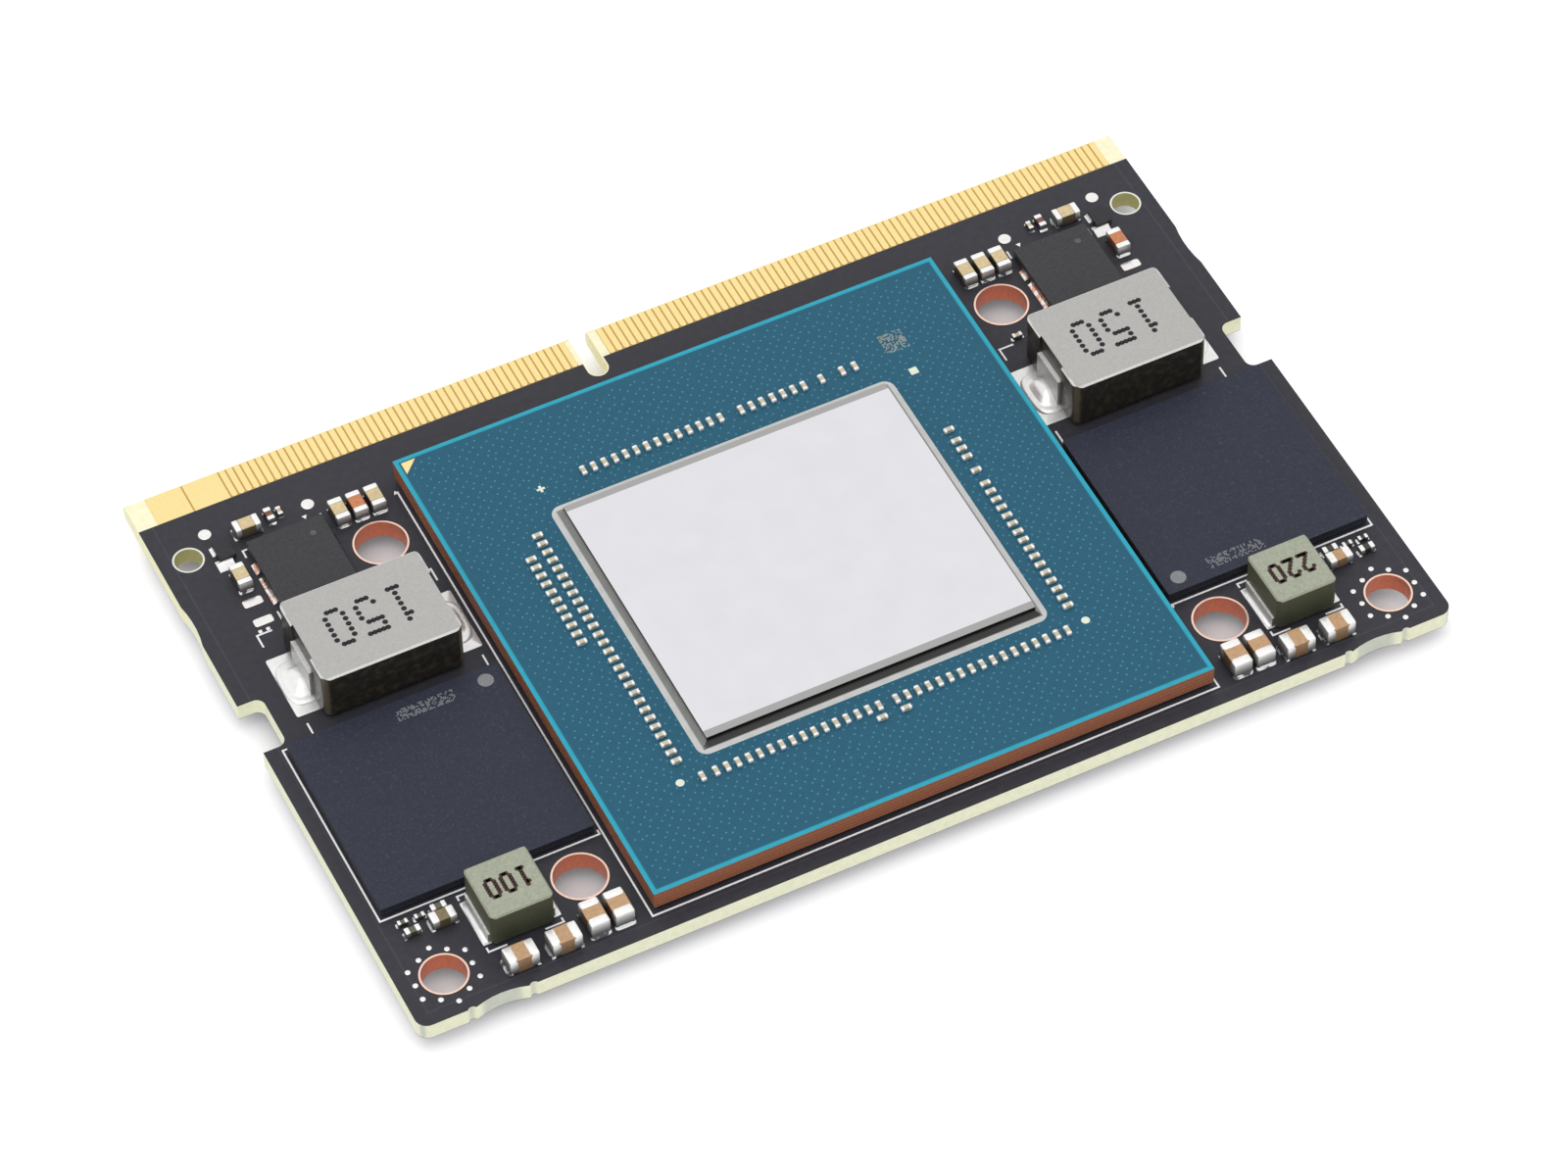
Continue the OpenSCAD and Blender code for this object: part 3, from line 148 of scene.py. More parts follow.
def lengths(millimetres, words):
    """Property of two or three lengths, whose defaults are given in millimetres."""
    return FloatVectorProperty(description=words, unit="LENGTH", precision=6, size=len(millimetres),
                               default=tuple(value * MM for value in millimetres))


def angle(degrees, words):
    """Angle property whose default is given in degrees."""
    return FloatProperty(description=words, subtype="ANGLE", default=radians(degrees))


def share(value, words):
    """Property between 0 and 1."""
    return FloatProperty(description=words, subtype="FACTOR", min=0, max=1, default=value)


# Node helpers

class Nodes:
    """Short calls that add nodes to one tree and link them."""

    def __init__(self, tree):
        self.tree = tree

    def feed(self, socket, value):
        """Links a socket to a socket, or sets it to a plain value."""
        if isinstance(value, bpy.types.NodeSocket):
            self.tree.links.new(value, socket)
        elif socket.type == "RGBA":
            socket.default_value = (*value, 1)
        else:
            socket.default_value = value

    def add(self, kind, sockets=None, **settings):
        node = self.tree.nodes.new("ShaderNode" + kind)
        for name, value in settings.items():
            setattr(node, name, value)
        for name, value in (sockets or {}).items():
            self.feed(node.inputs[name], value)
        return node

    def math(self, operation, *values):
        node = self.add("Math", operation=operation)
        for socket, value in zip(node.inputs, values):
            self.feed(socket, value)
        return node.outputs[0]

    def smooth(self, value, low, high):
        """0 below low, 1 above high, and a soft step between them, or the reverse where low is above high."""
        node = self.add("MapRange", {"Value": value, "From Min": low, "From Max": high},
                        interpolation_type="SMOOTHSTEP")
        return node.outputs[0]

    def mix(self, mask, first, second):
        node = self.add("Mix", data_type="RGBA")
        self.feed(node.inputs[0], mask)
        self.feed(node.inputs[6], first)
        self.feed(node.inputs[7], second)
        return node.outputs[2]

    def where(self):
        """Place in object coordinates."""
        return self.add("TexCoord").outputs["Object"]

    def split(self, vector):
        """The x, y and z of a vector."""
        return self.add("SeparateXYZ", {"Vector": vector}).outputs

    def axes(self):
        return self.split(self.where())

    def normal(self):
        """Direction in which the surface looks, split into x, y and z."""
        return self.split(self.add("NewGeometry").outputs["Normal"])


class Finish(Nodes):
    """A material being made: its Principled shader, and the base colour that it has so far."""

    def __init__(self, name, colour, surface=None):
        roughness, metallic, specular, *self.texture = SURFACES[surface or name]
        self.material = bpy.data.materials.new(name)
        self.material.use_nodes = True
        super().__init__(self.material.node_tree)
        self.tree.nodes.clear()
        self.shader = self.add("BsdfPrincipled", {"Roughness": roughness, "Metallic": metallic,
                                                  "Specular IOR Level": specular})
        self.output = self.add("OutputMaterial", {"Surface": self.shader.outputs[0]})
        self.colour = colour

    def tint(self, mask, colour, amount=1.0):
        """Lays a colour over the base by an amount, where the mask is 1."""
        if amount < 1:
            mask = self.math("MULTIPLY", mask, amount)
        self.colour = self.mix(mask, self.colour, colour)
        return self

    def scale(self, tone):
        """Multiplies the base colour by a tone."""
        node = self.add("VectorMath", {"Scale": tone}, operation="SCALE")
        self.feed(node.inputs[0], self.colour)
        self.colour = node.outputs[0]

    def up(self):
        """1 on faces that look up, 0 on walls and faces that look down."""
        return self.smooth(self.normal()["Z"], *LOOKS_UP)

    def invert(self, mask):
        return self.math("SUBTRACT", 1, mask)

    def between(self, value, start, full, fade, end):
        """A band: 0 up to start, 1 from full to fade, and 0 from end."""
        return self.math("SUBTRACT", self.smooth(value, start, full), self.smooth(value, fade, end))

    def noise(self, size):
        """Three-octave noise of a grain size."""
        return self.add("TexNoise", {"Vector": self.where(), "Scale": 1 / size, "Detail": 2}).outputs["Fac"]

    def patches(self, size, low, high):
        """Patches of a size: 0 where its noise is below low, and 1 where it is above high."""
        return self.smooth(self.noise(size), low, high)

    def layers(self, pitch):
        """Thin lines at even heights, wavering a little, as on the cut edge of a laminate."""
        height = self.math("DIVIDE", self.axes()["Z"], pitch)
        phase = self.math("FRACT", self.math("MULTIPLY_ADD", self.noise(LAYER_WAVER), 0.5, height))
        away = self.math("ABSOLUTE", self.math("SUBTRACT", phase, 0.5))
        return self.smooth(away, 0.2, 0.06)

    def dots(self, pitch, radius):
        """Round dots on a diagonal lattice, each a little off its place."""
        turned = self.add("Mapping", {"Vector": self.where(), "Rotation": (0, 0, radians(45))}).outputs[0]
        cells = self.add("TexVoronoi", {"Vector": turned, "Scale": 1 / pitch, "Randomness": 0.45},
                         voronoi_dimensions="2D")
        return self.smooth(self.math("MULTIPLY", cells.outputs["Distance"], pitch / radius), 1.2, 0.6)

    def reach(self, across, along):
        """Distance in plan of two offsets."""
        offset = self.add("CombineXYZ", {"X": across, "Y": along}).outputs[0]
        return self.add("VectorMath", {"Vector": offset}, operation="LENGTH").outputs["Value"]

    def paint_wall_shade(self, tone, left=1.0, foot=1.0):
        """Painted shade on walls: multiplies the base colour by a tone there, further on those that look left and
        near the board.
        """
        if left < 1:
            leftward = self.smooth(self.normal()["X"], *LOOKS_LEFT)
            tone = self.math("MULTIPLY", tone, self.math("MULTIPLY_ADD", leftward, left - 1, 1))
        if foot < 1:
            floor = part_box("board")[1].z
            climb = self.smooth(self.axes()["Z"], floor, floor + CHIP_HEIGHT)
            tone = self.math("MULTIPLY", tone, self.math("MULTIPLY_ADD", climb, 1 - foot, foot))
        dark = self.math("MULTIPLY", self.invert(self.up()), self.invert(tone))
        self.scale(self.invert(dark))
        return self

    def inside(self, low, high):
        """Distance from a point in the rectangle between two corners to the nearest of its sides."""
        axes = self.axes()
        gaps = []
        for axis, first, last in zip("XY", low, high):
            offset = self.math("SUBTRACT", axes[axis], (first + last) / 2)
            gaps.append(self.math("SUBTRACT", (last - first) / 2, self.math("ABSOLUTE", offset)))
        return self.math("MINIMUM", *gaps)

    def on(self, *nodes):
        """Adds the surface's grain, puts the finished material on CAD nodes and returns it."""
        size, contrast, relief = self.texture
        grain = self.noise(size * MM)
        self.scale(self.math("MULTIPLY_ADD", self.math("SUBTRACT", grain, 0.5), GRAIN_SWING * contrast, 1))
        self.feed(self.shader.inputs["Base Color"], self.colour)
        if relief:
            bump = self.add("Bump", {"Height": grain, "Distance": relief * MM, "Strength": 1})
            self.feed(self.shader.inputs["Normal"], bump.outputs[0])
        for name in nodes:
            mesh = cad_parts[name].data
            mesh.materials.clear()
            mesh.materials.append(self.material)
        return self.material


# Shape helpers

def add_piece(name, points, faces, material, slot, replaced=()):
    """Makes a smooth mesh at the origin that rides on the part and takes the given material; the slot is not used.
    """
    mesh = bpy.data.meshes.new(name)
    mesh.from_pydata(points, [], faces)
    mesh.shade_smooth()
    place_piece(name, mesh, material, replaced)


def place_piece(name, mesh, material, replaced):
    mesh.materials.clear()
    mesh.materials.append(material)
    piece = bpy.data.objects.new(name, mesh)
    bpy.context.scene.collection.objects.link(piece)
    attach(piece, "root")
    if replaced:
        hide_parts(*replaced)


def points_of(mesh):
    points = np.empty(len(mesh.vertices) * 3)
    mesh.vertices.foreach_get("co", points)
    return points.reshape(-1, 3)


def solids_of(node):
    """Boxes of the separate solids in a CAD node, as arrays of low and high corners.

    Corners at one place share a number, and each triangle hands its lowest number on until none changes.
    """
    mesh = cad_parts[node].data
    points = points_of(mesh)
    corners = np.empty(len(mesh.loops), int)
    mesh.loops.foreach_get("vertex_index", corners)
    _, place = np.unique(np.round(points / WELD), axis=0, return_inverse=True)
    place = place.ravel()
    triangles = place[corners].reshape(-1, 3)
    label = np.arange(place.max() + 1)
    while True:
        lowest = label.copy()
        np.minimum.at(lowest, triangles.ravel(), np.repeat(label[triangles].min(axis=1), 3))
        lowest = lowest[lowest]
        if (lowest == label).all():
            break
        label = lowest
    owner = label[place]
    solids = [points[owner == k] for k in np.unique(owner)]
    return np.array([s.min(axis=0) for s in solids]), np.array([s.max(axis=0) for s in solids])


def close_shells(grids):
    """Points and faces of closed surfaces from grids of count x rows x columns points.

    Columns run round each surface, and its first and last row each hold one point.
    """
    count, rows, columns, _ = grids.shape
    inner = grids[:, 1:-1].reshape(count, -1, 3)
    points = np.concatenate([grids[:, :1, 0], inner, grids[:, -1:, 0]], axis=1)
    here = np.arange(columns)
    beside = np.roll(here, -1)
    start = 1 + columns * np.arange(rows - 3)[:, None]
    quads = np.stack([start + here, start + beside, start + columns + beside, start + columns + here], axis=-1)
    last = points.shape[1] - 1
    first_fan = np.stack([np.zeros(columns, int), 1 + beside, 1 + here], axis=-1)
    last_fan = np.stack([np.full(columns, last), last - columns + here, last - columns + beside], axis=-1)
    faces = []
    for block in (first_fan, quads.reshape(-1, 4), last_fan):
        shifted = block[None] + points.shape[1] * np.arange(count)[:, None, None]
        faces += shifted.reshape(-1, block.shape[1]).tolist()
    return points.reshape(-1, 3), faces


def power_wave(angle, exponent):
    """Cosine and sine of an angle, each raised to an exponent with its sign kept: a rounded square."""
    wave = np.stack([np.cos(angle), np.sin(angle)], axis=-1)
    return np.sign(wave) * np.abs(wave) ** exponent


def pebbles(low, high, exponent, rows, columns):
    """Rounded blocks that fill boxes: superellipsoids, whose small exponent makes them nearly square."""
    rise = power_wave(np.linspace(-pi / 2, pi / 2, rows), exponent)
    return mounds(low, high, exponent, (rise + [0, 1]) / [1, 2], columns)


def mounds(low, high, exponent, profile, columns):
    """Mounds that stand on the floors of boxes: a profile of [share of the outline, share of the height]
    carried round a rounded-square outline."""
    profile = np.array(profile)
    turn = power_wave(np.linspace(0, 2 * pi, columns, endpoint=False), exponent)
    unit = np.empty((len(profile), columns, 3))
    unit[..., :2] = profile[:, None, :1] * turn
    unit[..., 2] = 2 * profile[:, 1:] - 1
    middle = (low + high)[:, None, None] / 2
    half = (high - low)[:, None, None] / 2
    return close_shells(middle + half * unit)


def facing(low, high, *body_nodes):
    """Direction in which each metal end looks, away from the body that it touches."""
    body_low, body_high = (np.concatenate(corners) for corners in zip(*map(solids_of, body_nodes)))
    gap = np.maximum(low[:, None] - body_high, body_low - high[:, None]).max(axis=2)
    owner = gap.argmin(axis=1)
    offset = ((low + high) - (body_low + body_high)[owner])[:, :2]
    along = np.abs(offset) == np.abs(offset).max(axis=1, keepdims=True)
    return np.sign(offset) * along


def lengthen(low, high, way, share_in):
    """Boxes of ends made longer towards their bodies by a share of their length."""
    grow = share_in * np.abs((high - low)[:, :2] * way)
    low, high = low.copy(), high.copy()
    low[:, :2] -= grow * (way > 0)
    high[:, :2] += grow * (way < 0)
    return low, high


def skirts(low, high, way, floor, reach, spread, climb, columns):
    """Solder skirts in front of metal ends: over a rounded oblong, the height falls from the end's face
    to the rim as the square of the distance that is left, and a little towards both sides."""
    side = np.stack([-way[:, 1], way[:, 0]], axis=-1)
    depth, width = (np.abs((high - low)[:, :2] * axis).sum(axis=1) / 2 for axis in (way, side))
    face = (low + high)[:, :2] / 2 + way * depth[:, None]
    reach, climb, depth, width = (size[:, None, None] for size in (reach, climb, depth, width))
    turn = power_wave(np.linspace(0, 2 * pi, columns, endpoint=False), exponent=0.4)
    flat = np.array(SKIRT_RINGS)[:, None, None] * turn
    ahead = (reach - depth) / 2 + (reach + depth) / 2 * flat[..., 0]
    across = (width + spread) * flat[..., 1]
    left = np.clip(1 - ahead / reach, 0, 1)
    height = climb * (SKIRT_FOOT + (1 - SKIRT_FOOT) * left ** 2) * (1 - SKIRT_SAG * flat[..., 1] ** 2)
    height[:, :2] = 0
    grids = np.empty(height.shape + (3,))
    grids[..., :2] = (face[:, None, None] + ahead[..., None] * way[:, None, None]
                      + across[..., None] * side[:, None, None])
    grids[..., 2] = floor + height
    return close_shells(grids)


def digit_dots(text, pitch, middle):
    """Places of the dots of numbers on a five-by-seven matrix, centred on a point and turned by half a turn.

    The pitch is [across, along].
    """
    rows = np.array([DIGITS[digit] for digit in text])
    lit = rows[:, :, None] >> np.arange(4, -1, -1) & 1
    which, row, column = np.nonzero(lit)
    across = which * ADVANCE + column - (ADVANCE * (len(text) - 1) + 4) / 2
    return np.array(middle) - np.array(pitch) * np.stack([across, 3 - row], axis=-1)


def speckle_dots(low, high, pitch, seed):
    """Places on a square lattice between two corners, of which a seeded half is kept."""
    across = np.arange(low[0] + pitch / 2, high[0], pitch)
    along = np.arange(low[1] + pitch / 2, high[1], pitch)
    lattice = np.stack(np.meshgrid(across, along), axis=-1).reshape(-1, 2)
    return lattice[np.random.default_rng(seed).random(len(lattice)) < 0.5]


def at_height(plan, height):
    """Points in plan, all at one height."""
    return np.column_stack([plan, np.full(len(plan), height)])


def ink_dots(places, radius, floor, thick, columns=10):
    """Flat round dots of ink on a floor at one height."""
    low, high = at_height(places - radius, floor), at_height(places + radius, floor + thick)
    return mounds(low, high, exponent=1, profile=SLAB, columns=columns)


# Board

class BoardLook(bpy.types.PropertyGroup):
    laminate: paint("#ebecd0", "Cut edges of the board")
    # The bare top is lighter than the cut edges, partly its own paler surface and partly painted light from above
    laminate_top: paint("#f8f3cf", "Bare ends of the board beside the contacts")
    laminate_far: paint("#efe9bd", "Cut edges by the contacts and in the far holes")
    laminate_lines: paint("#c3bb84", "Glass layers on the cut edges")
    torn: paint("#b9bfb6", "Rough laminate where the board was broken off")
    # Painted shade and painted gold reflection on the bare laminate between the contacts
    between: paint("#c79d52", "Laminate between the contacts")
    mask: paint("#34343b", "Solder mask of the board")
    mask_lines: paint("#4a4a52", "Copper outlines that show through the mask")
    gold: paint("#fce5a1", "Card-edge contacts")
    copper: paint("#d98468", "Walls of the plated holes")
    # Flat rims are paler than the copper walls; part of that is a painted highlight
    copper_rim_and_sheen: paint("#ffd8c4", "Flat rims of the plated holes")
    # Tooling hole walls are darker olive, partly the laminate's own tint and partly painted shade inside the holes
    bore: paint("#aba66e", "Walls of the two tooling holes")
    bore_rim: paint("#eceee4", "Bare rims of the tooling holes")
    bore_place: lengths((32.9, 16.5), "Middle of the right tooling hole")
    bore_edge: length(1.15, "Middle of a tooling hole to where its colours end")
    solder: paint("#f2f2f0", "Solder joints and lands")
    print_ink: paint("#f7f7f7", "Printed outlines")
    torn_depth: length(1.5, "Reach of the break-off places from the plain edge")
    far_from: length(12, "Board's middle to where the far laminate begins")
    slot_place: lengths((-3.54, 19.265), "Middle of the key slot's round end")
    slot_edge: length(0.71, "Middle of the key slot to the edge of the mask")
    layer_pitch: length(0.2, "Distance between the laminate's lines")
    smallest_pad: length(0.5, "Bare places below this size are specks of solder")
    pour_inset: length(0.9, "Board edge to the line of the copper pour")
    pour_width: length(0.1, "Width of that line")


class MODULE_OT_board(bpy.types.Operator):
    """Finish of the board, its coatings, contacts, barrels and printed outlines"""
    bl_idname = "module.board"
    bl_label = "Board"

    def widest_gap(self):
        """Corners of the widest gap between two contacts, which holds the key slot."""
        low, high = solids_of("top_contacts")
        order = np.argsort(low[:, 0])
        low, high = low[order], high[order]
        left = np.argmax(low[1:, 0] - high[:-1, 0])
        return Vector((high[left, 0], low[left, 1], 0)), Vector((low[left + 1, 0], high[left, 1], 0))

    def execute(self, context):
        look = context.scene.module_board
        low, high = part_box("board")
        contact_low, contact_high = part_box("top_contacts")

        laminate = Finish("Glass laminate", look.laminate)
        up = laminate.up()
        laminate.tint(laminate.layers(look.layer_pitch), look.laminate_lines, amount=0.3)
        near = Vector((high.x, low.y + look.torn_depth, high.z))
        laminate.tint(laminate.smooth(laminate.inside(low, near), SOFT, 4 * SOFT), look.torn, amount=0.8)
        axes = laminate.axes()
        laminate.tint(laminate.smooth(axes["Y"], look.far_from, look.far_from + MM), look.laminate_far, amount=0.7)
        # Upward faces lighter: partly the bare top's own colour, partly painted light from above
        laminate.tint(up, look.laminate_top)
        # Between the contacts the bare top is a darker gold-brown: painted shade and a painted reflection of the
        # gold
        strip = laminate.smooth(laminate.inside(contact_low, contact_high), -SOFT, SOFT)
        strip = laminate.math("MULTIPLY", strip, laminate.smooth(laminate.inside(*self.widest_gap()), SOFT, 0))
        laminate.tint(laminate.math("MULTIPLY", up, strip), look.between)
        # Tooling holes: pale bare rims on top, walls darkened partly as painted shade
        across = laminate.math("SUBTRACT", laminate.math("ABSOLUTE", axes["X"]), look.bore_place[0])
        outside = laminate.reach(across, laminate.math("SUBTRACT", axes["Y"], look.bore_place[1]))
        bore = laminate.smooth(outside, look.bore_edge, look.bore_edge - SOFT)
        laminate.tint(bore, laminate.mix(up, look.bore, look.bore_rim)).on("board")

        mask = Finish("Board solder mask", look.mask)
        depth = mask.math("SUBTRACT", mask.inside(low, high), look.pour_inset)
        away = mask.math("DIVIDE", mask.math("ABSOLUTE", depth), look.pour_width)
        mask.tint(mask.smooth(away, 0.8, 0.3), look.mask_lines, amount=0.4)
        axes = mask.axes()
        across = mask.math("SUBTRACT", axes["X"], look.slot_place[0])
        below = mask.math("MINIMUM", mask.math("SUBTRACT", axes["Y"], look.slot_place[1]), 0)
        outside = mask.math("DIVIDE", mask.reach(across, below), look.slot_edge)
        mask.tint(mask.smooth(outside, 1.03, 0.97), look.laminate_top).on("top_solder_mask", "bottom_solder_mask")

        Finish("Printed ink", look.print_ink).on("top_silkscreen")
        Finish("Gold plating", look.gold).on("top_contacts", "bottom_contacts", "processor_pin_mark")
        copper = Finish("Plated copper", look.copper)
        # Paler flat rims, partly a painted highlight
        copper.tint(copper.up(), look.copper_rim_and_sheen).on("mounting_hole_barrels", "heatsink_hole_barrels")
        solder = Finish("Solder", look.solder).on(
            "bulk_capacitor_solder", "decoupling_capacitor_solder", "package_lands", "processor_solder_balls",
            "memory_solder_balls")
        pad = Finish("Pad solder", look.solder)
        # Painted reflection: a pink copper-coloured ring on the sloping parts of the pad domes
        pad = pad.tint(pad.between(pad.normal()["Z"], 0.5, 0.9, 0.93, 0.98), look.copper_rim_and_sheen).on()

        dots = mounds(*solids_of("ground_dots"), exponent=1, profile=DOME, columns=12)
        add_piece("ground_dot_domes", *dots, solder, "solder", ["ground_dots"])
        low, high = solids_of("test_pads")
        size = (high - low)[:, :2]
        wide = size.max(axis=1) > look.smallest_pad
        disc = np.isclose(size[:, 0], size[:, 1], rtol=0.05) & wide
        for name, chosen, exponent, material in (("round_pad_domes", disc, 1, pad),
                                                 ("square_pad_domes", wide & ~disc, 0.35, pad),
                                                 ("speck_domes", ~wide, 0.35, solder)):
            domes = mounds(low[chosen], high[chosen], exponent, DOME, columns=24)
            add_piece(name, *domes, material, "solder", ["test_pads"])
        return {"FINISHED"}


# Processor

class ProcessorLook(bpy.types.PropertyGroup):
    carrier: paint("#1a5870", "Film on the processor carrier")
    rim: paint("#26a0b8", "Bright rim of the carrier film")
    dots: paint("#45859e", "Plugged holes under the carrier film")
    code: paint("#90938a", "Square of fine dots beside the die")
    edge: paint("#915638", "Cut edge of the carrier")
    edge_lines: paint("#5e3422", "Layers in the cut edge")
    die: paint("#e4e3e8", "Polished face of the die")
    # Painted reflection: the shallow bevels along two edges of the die are grey
    die_bevel_reflection: paint("#acabaa", "Ground bands along two edges of the die")
    # Dark sawn walls of the die; the same dark is painted on the near side of the resin by the die as shade and
    # reflection
    die_wall_and_resin_shade: paint("#1e1e1c", "Sawn walls of the die and the resin on its near side")
    resin_wall_shade: paint("#7d7e7a", "Resin on the other walls of the die")
    underfill: paint("#c6c7c5", "Resin fillet round the die")
    capacitor: paint("#c2bba4", "Ceramic of the chip capacitors on the carrier")
    mark: paint("#dfe6d4", "Bare marks at the corners of the die")
    tin: paint("#f6f5f3", "Plating on the metal ends of chips")
    # Width of the painted darker band of resin by the die
    underfill_rim: length(0.4, "Die wall to the pale rim of the resin")
    rim_width: length(0.3, "Width of the bright rim")
    dot_pitch: length(0.55, "Distance between the plugged holes")
    dot_radius: length(0.068, "Radius of a plugged hole")
    dot_inset: length(0.65, "Edge of the carrier to where the plugged holes begin")
    edge_pitch: length(0.3, "Distance between the layers in the cut edge")
    # Painted shade: the sides of the carrier's capacitors are darkened beside their tops
    capacitor_side_shade: share(0.75, "How bright the sides of a capacitor are beside its top")
    code_place: lengths((13.5, 11.39), "Middle of the square of fine dots")
    code_side: length(1.62, "Side of the square of fine dots")
    code_pitch: length(0.1, "Distance between the fine dots")


class MODULE_OT_processor(bpy.types.Operator):
    """Finish of the processor carrier, its die, resin and chip capacitors"""
    bl_idname = "module.processor"
    bl_label = "Processor"

    def execute(self, context):
        look = context.scene.module_processor
        low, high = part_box("processor_substrate")

        film = Finish("Carrier film", look.carrier)
        depth = film.inside(low, high)
        dots = film.dots(look.dot_pitch, look.dot_radius)
        field = film.smooth(depth, look.dot_inset, look.dot_inset + 2 * SOFT)
        film.tint(film.math("MULTIPLY", dots, field), look.dots)
        film.tint(film.smooth(film.math("DIVIDE", depth, look.rim_width), 1.2, 0.7), look.rim)
        film.on("processor_solder_mask")

        edge = Finish("Carrier laminate", look.edge)
        edge.tint(edge.layers(look.edge_pitch), look.edge_lines, amount=0.6)
        edge.on("processor_substrate")

        die = Finish("Silicon", look.die)
        # Painted reflection on the shallow bevels
        die.tint(die.smooth(die.math("ABSOLUTE", die.normal()["Y"]), 0.04, 0.08), look.die_bevel_reflection)
        die.tint(die.invert(die.up()), look.die_wall_and_resin_shade).on("processor_die")

        resin = Finish("Underfill resin", look.underfill)
        depth = resin.inside(*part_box("processor_die"))
        # Painted shade and reflection: steep resin by the die is darker, darkest where it looks toward the near
        # side
        wall = resin.mix(resin.smooth(resin.normal()["Y"], -0.1, -0.3), look.resin_wall_shade, look.die_wall_and_resin_shade)
        resin.tint(resin.smooth(depth, -look.underfill_rim, 2 * SOFT - look.underfill_rim), wall)
        resin.on("processor_underfill")

        ceramic = Finish("Carrier capacitor ceramic", look.capacitor)
        # Painted shade on the capacitor sides
        ceramic.paint_wall_shade(look.capacitor_side_shade).on("processor_capacitor_bodies")
        tin = Finish("Tin plating", look.tin)
        tin = tin.on("diode_terminals", "bulk_capacitor_terminals", "decoupling_capacitor_ends")
        low, high = solids_of("processor_capacitor_ends")
        way = facing(low, high, "processor_capacitor_bodies")
        ends = pebbles(*lengthen(low, high, way, share_in=0.2), exponent=0.3, rows=5, columns=12)
        add_piece("processor_capacitor_caps", *ends, tin, "tin", ["processor_capacitor_ends"])

        Finish("Alignment marks", look.mark).on("processor_fiducials")
        ink = Finish("Carrier code", look.code).on()
        middle = np.array(look.code_place)
        half = look.code_side / 2
        code = speckle_dots(middle - half, middle + half, look.code_pitch, seed=1)
        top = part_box("processor_solder_mask")[1].z
        add_piece("processor_code", *ink_dots(code, 0.55 * look.code_pitch, top, INK, columns=6), ink, "print")
        return {"FINISHED"}


# Memory

class MemoryLook(bpy.types.PropertyGroup):
    mould: paint("#2a2e3c", "Moulded memory packages")
    speckle: paint("#4a5060", "Light grains in the mould")
    mark: paint("#85868a", "Round corner mark and strip of fine dots on a package")
    # Painted shade: the walls of the packages are darkened beside their tops
    side_shade: share(0.45, "How bright the sides of a package are beside its top")
    grain_size: length(0.12, "Size of the light grains")
    dot_radius: length(0.5, "Radius of the round corner mark")
    dot_place: lengths((-5.82, -6), "Round mark from the package's middle")
    strip_place: lengths((-1.72, -5.9), "Strip from the package's middle")
    strip_size: lengths((3.9, 0.85), "Length and width of the strip")
    strip_pitch: length(0.11, "Distance between the fine dots of the strip")


class MODULE_OT_memory(bpy.types.Operator):
    """Finish of the two memory packages and their corner marks"""
    bl_idname = "module.memory"
    bl_label = "Memory"

    def execute(self, context):
        look = context.scene.module_memory
        mould = Finish("Memory mould", look.mould)
        mould.tint(mould.patches(look.grain_size, 0.55, 0.75), look.speckle, amount=0.5)
        # Painted shade on the package walls
        mould.paint_wall_shade(look.side_shade).on("memory_left", "memory_right")

        ink = Finish("Memory marks", look.mark).on()
        dot, strip, size = (np.array(v) for v in (look.dot_place, look.strip_place, look.strip_size))
        for name, turn, seed in (("memory_left", -1, 2), ("memory_right", 1, 3)):
            low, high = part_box(name)
            middle = np.array((low + high) / 2)[:2]
            marks = speckle_dots(strip - size / 2, strip + size / 2, look.strip_pitch, seed)
            marks = ink_dots(middle + turn * marks, 0.5 * look.strip_pitch, high.z, INK, columns=6)
            add_piece(name + "_strip", *marks, ink, "print")
            marks = ink_dots((middle + turn * dot)[None], look.dot_radius, high.z, INK, columns=32)
            add_piece(name + "_dot", *marks, ink, "print")
        return {"FINISHED"}


# Power

class PowerLook(bpy.types.PropertyGroup):
    stage: paint("#37373a", "Mould of the power stages")
    large_top: paint("#aeadaa", "Pressed top of a large inductor")
    large_side: paint("#211f1b", "Walls of a large inductor")
    large_patch: paint("#474135", "Pale patches on those walls")
    small_top: paint("#a0a492", "Pressed top of a small inductor")
    small_side: paint("#484a39", "Walls of a small inductor")
    # Painted highlight on the rounded upright edges of the large inductors
    large_corner_highlight: paint("#7a7058", "Worn upright edges of a large inductor")
    # Painted highlight on the bevels round the top of the large inductors
    large_bevel_highlight: paint("#d6d5d1", "Bright bevels round the top of a large inductor")
    joint_copper: paint("#e0ab92", "Bare copper at the leads of the power stages")
    diode: paint("#2b2b2e", "Mould of the diodes")
    # Painted shade: the upright faces of the straps are darkened, most by the board
    strap_wall_shade: share(0.5, "How bright the upright faces of a strap are beside its top")
    strap_foot_shade: share(0.6, "How bright those faces are by the board beside their upper edges")
    patch_size: length(0.5, "Size of the patches of copper and on the walls of the large inductors")
    large_ink: paint("#26262a", "Numbers on the large inductors")
    small_ink: paint("#43322d", "Numbers on the small inductors")
    ink_depth: length(0.012, "Depth of the large inductors' numbers below their outer box")
    large_pitch: lengths((0.29, 0.45), "Dots of the large numbers, across and along")
    small_pitch: lengths((0.145, 0.22), "Dots of the small numbers, across and along")
    large_dot: length(0.185, "Radius of a dot of the large numbers")
    small_dot: length(0.155, "Radius of a dot of the small numbers")
    stage_dot: length(0.2, "Radius of the round mark on a power stage")
    stage_place: lengths((-1.06, -1.2), "Round mark from the stage's far corner")
    stage_mark: paint("#5a5a5c", "Round mark on a power stage")
    large_climb: length(0.75, "Height of the solder before the straps of a large inductor")
    small_climb: length(0.1, "The same for a small inductor")
    large_number: StringProperty(description="Number on the large inductors", default="150")
    small_left: StringProperty(description="Number on the left small inductor", default="100")
    small_right: StringProperty(description="Number on the right small inductor", default="220")


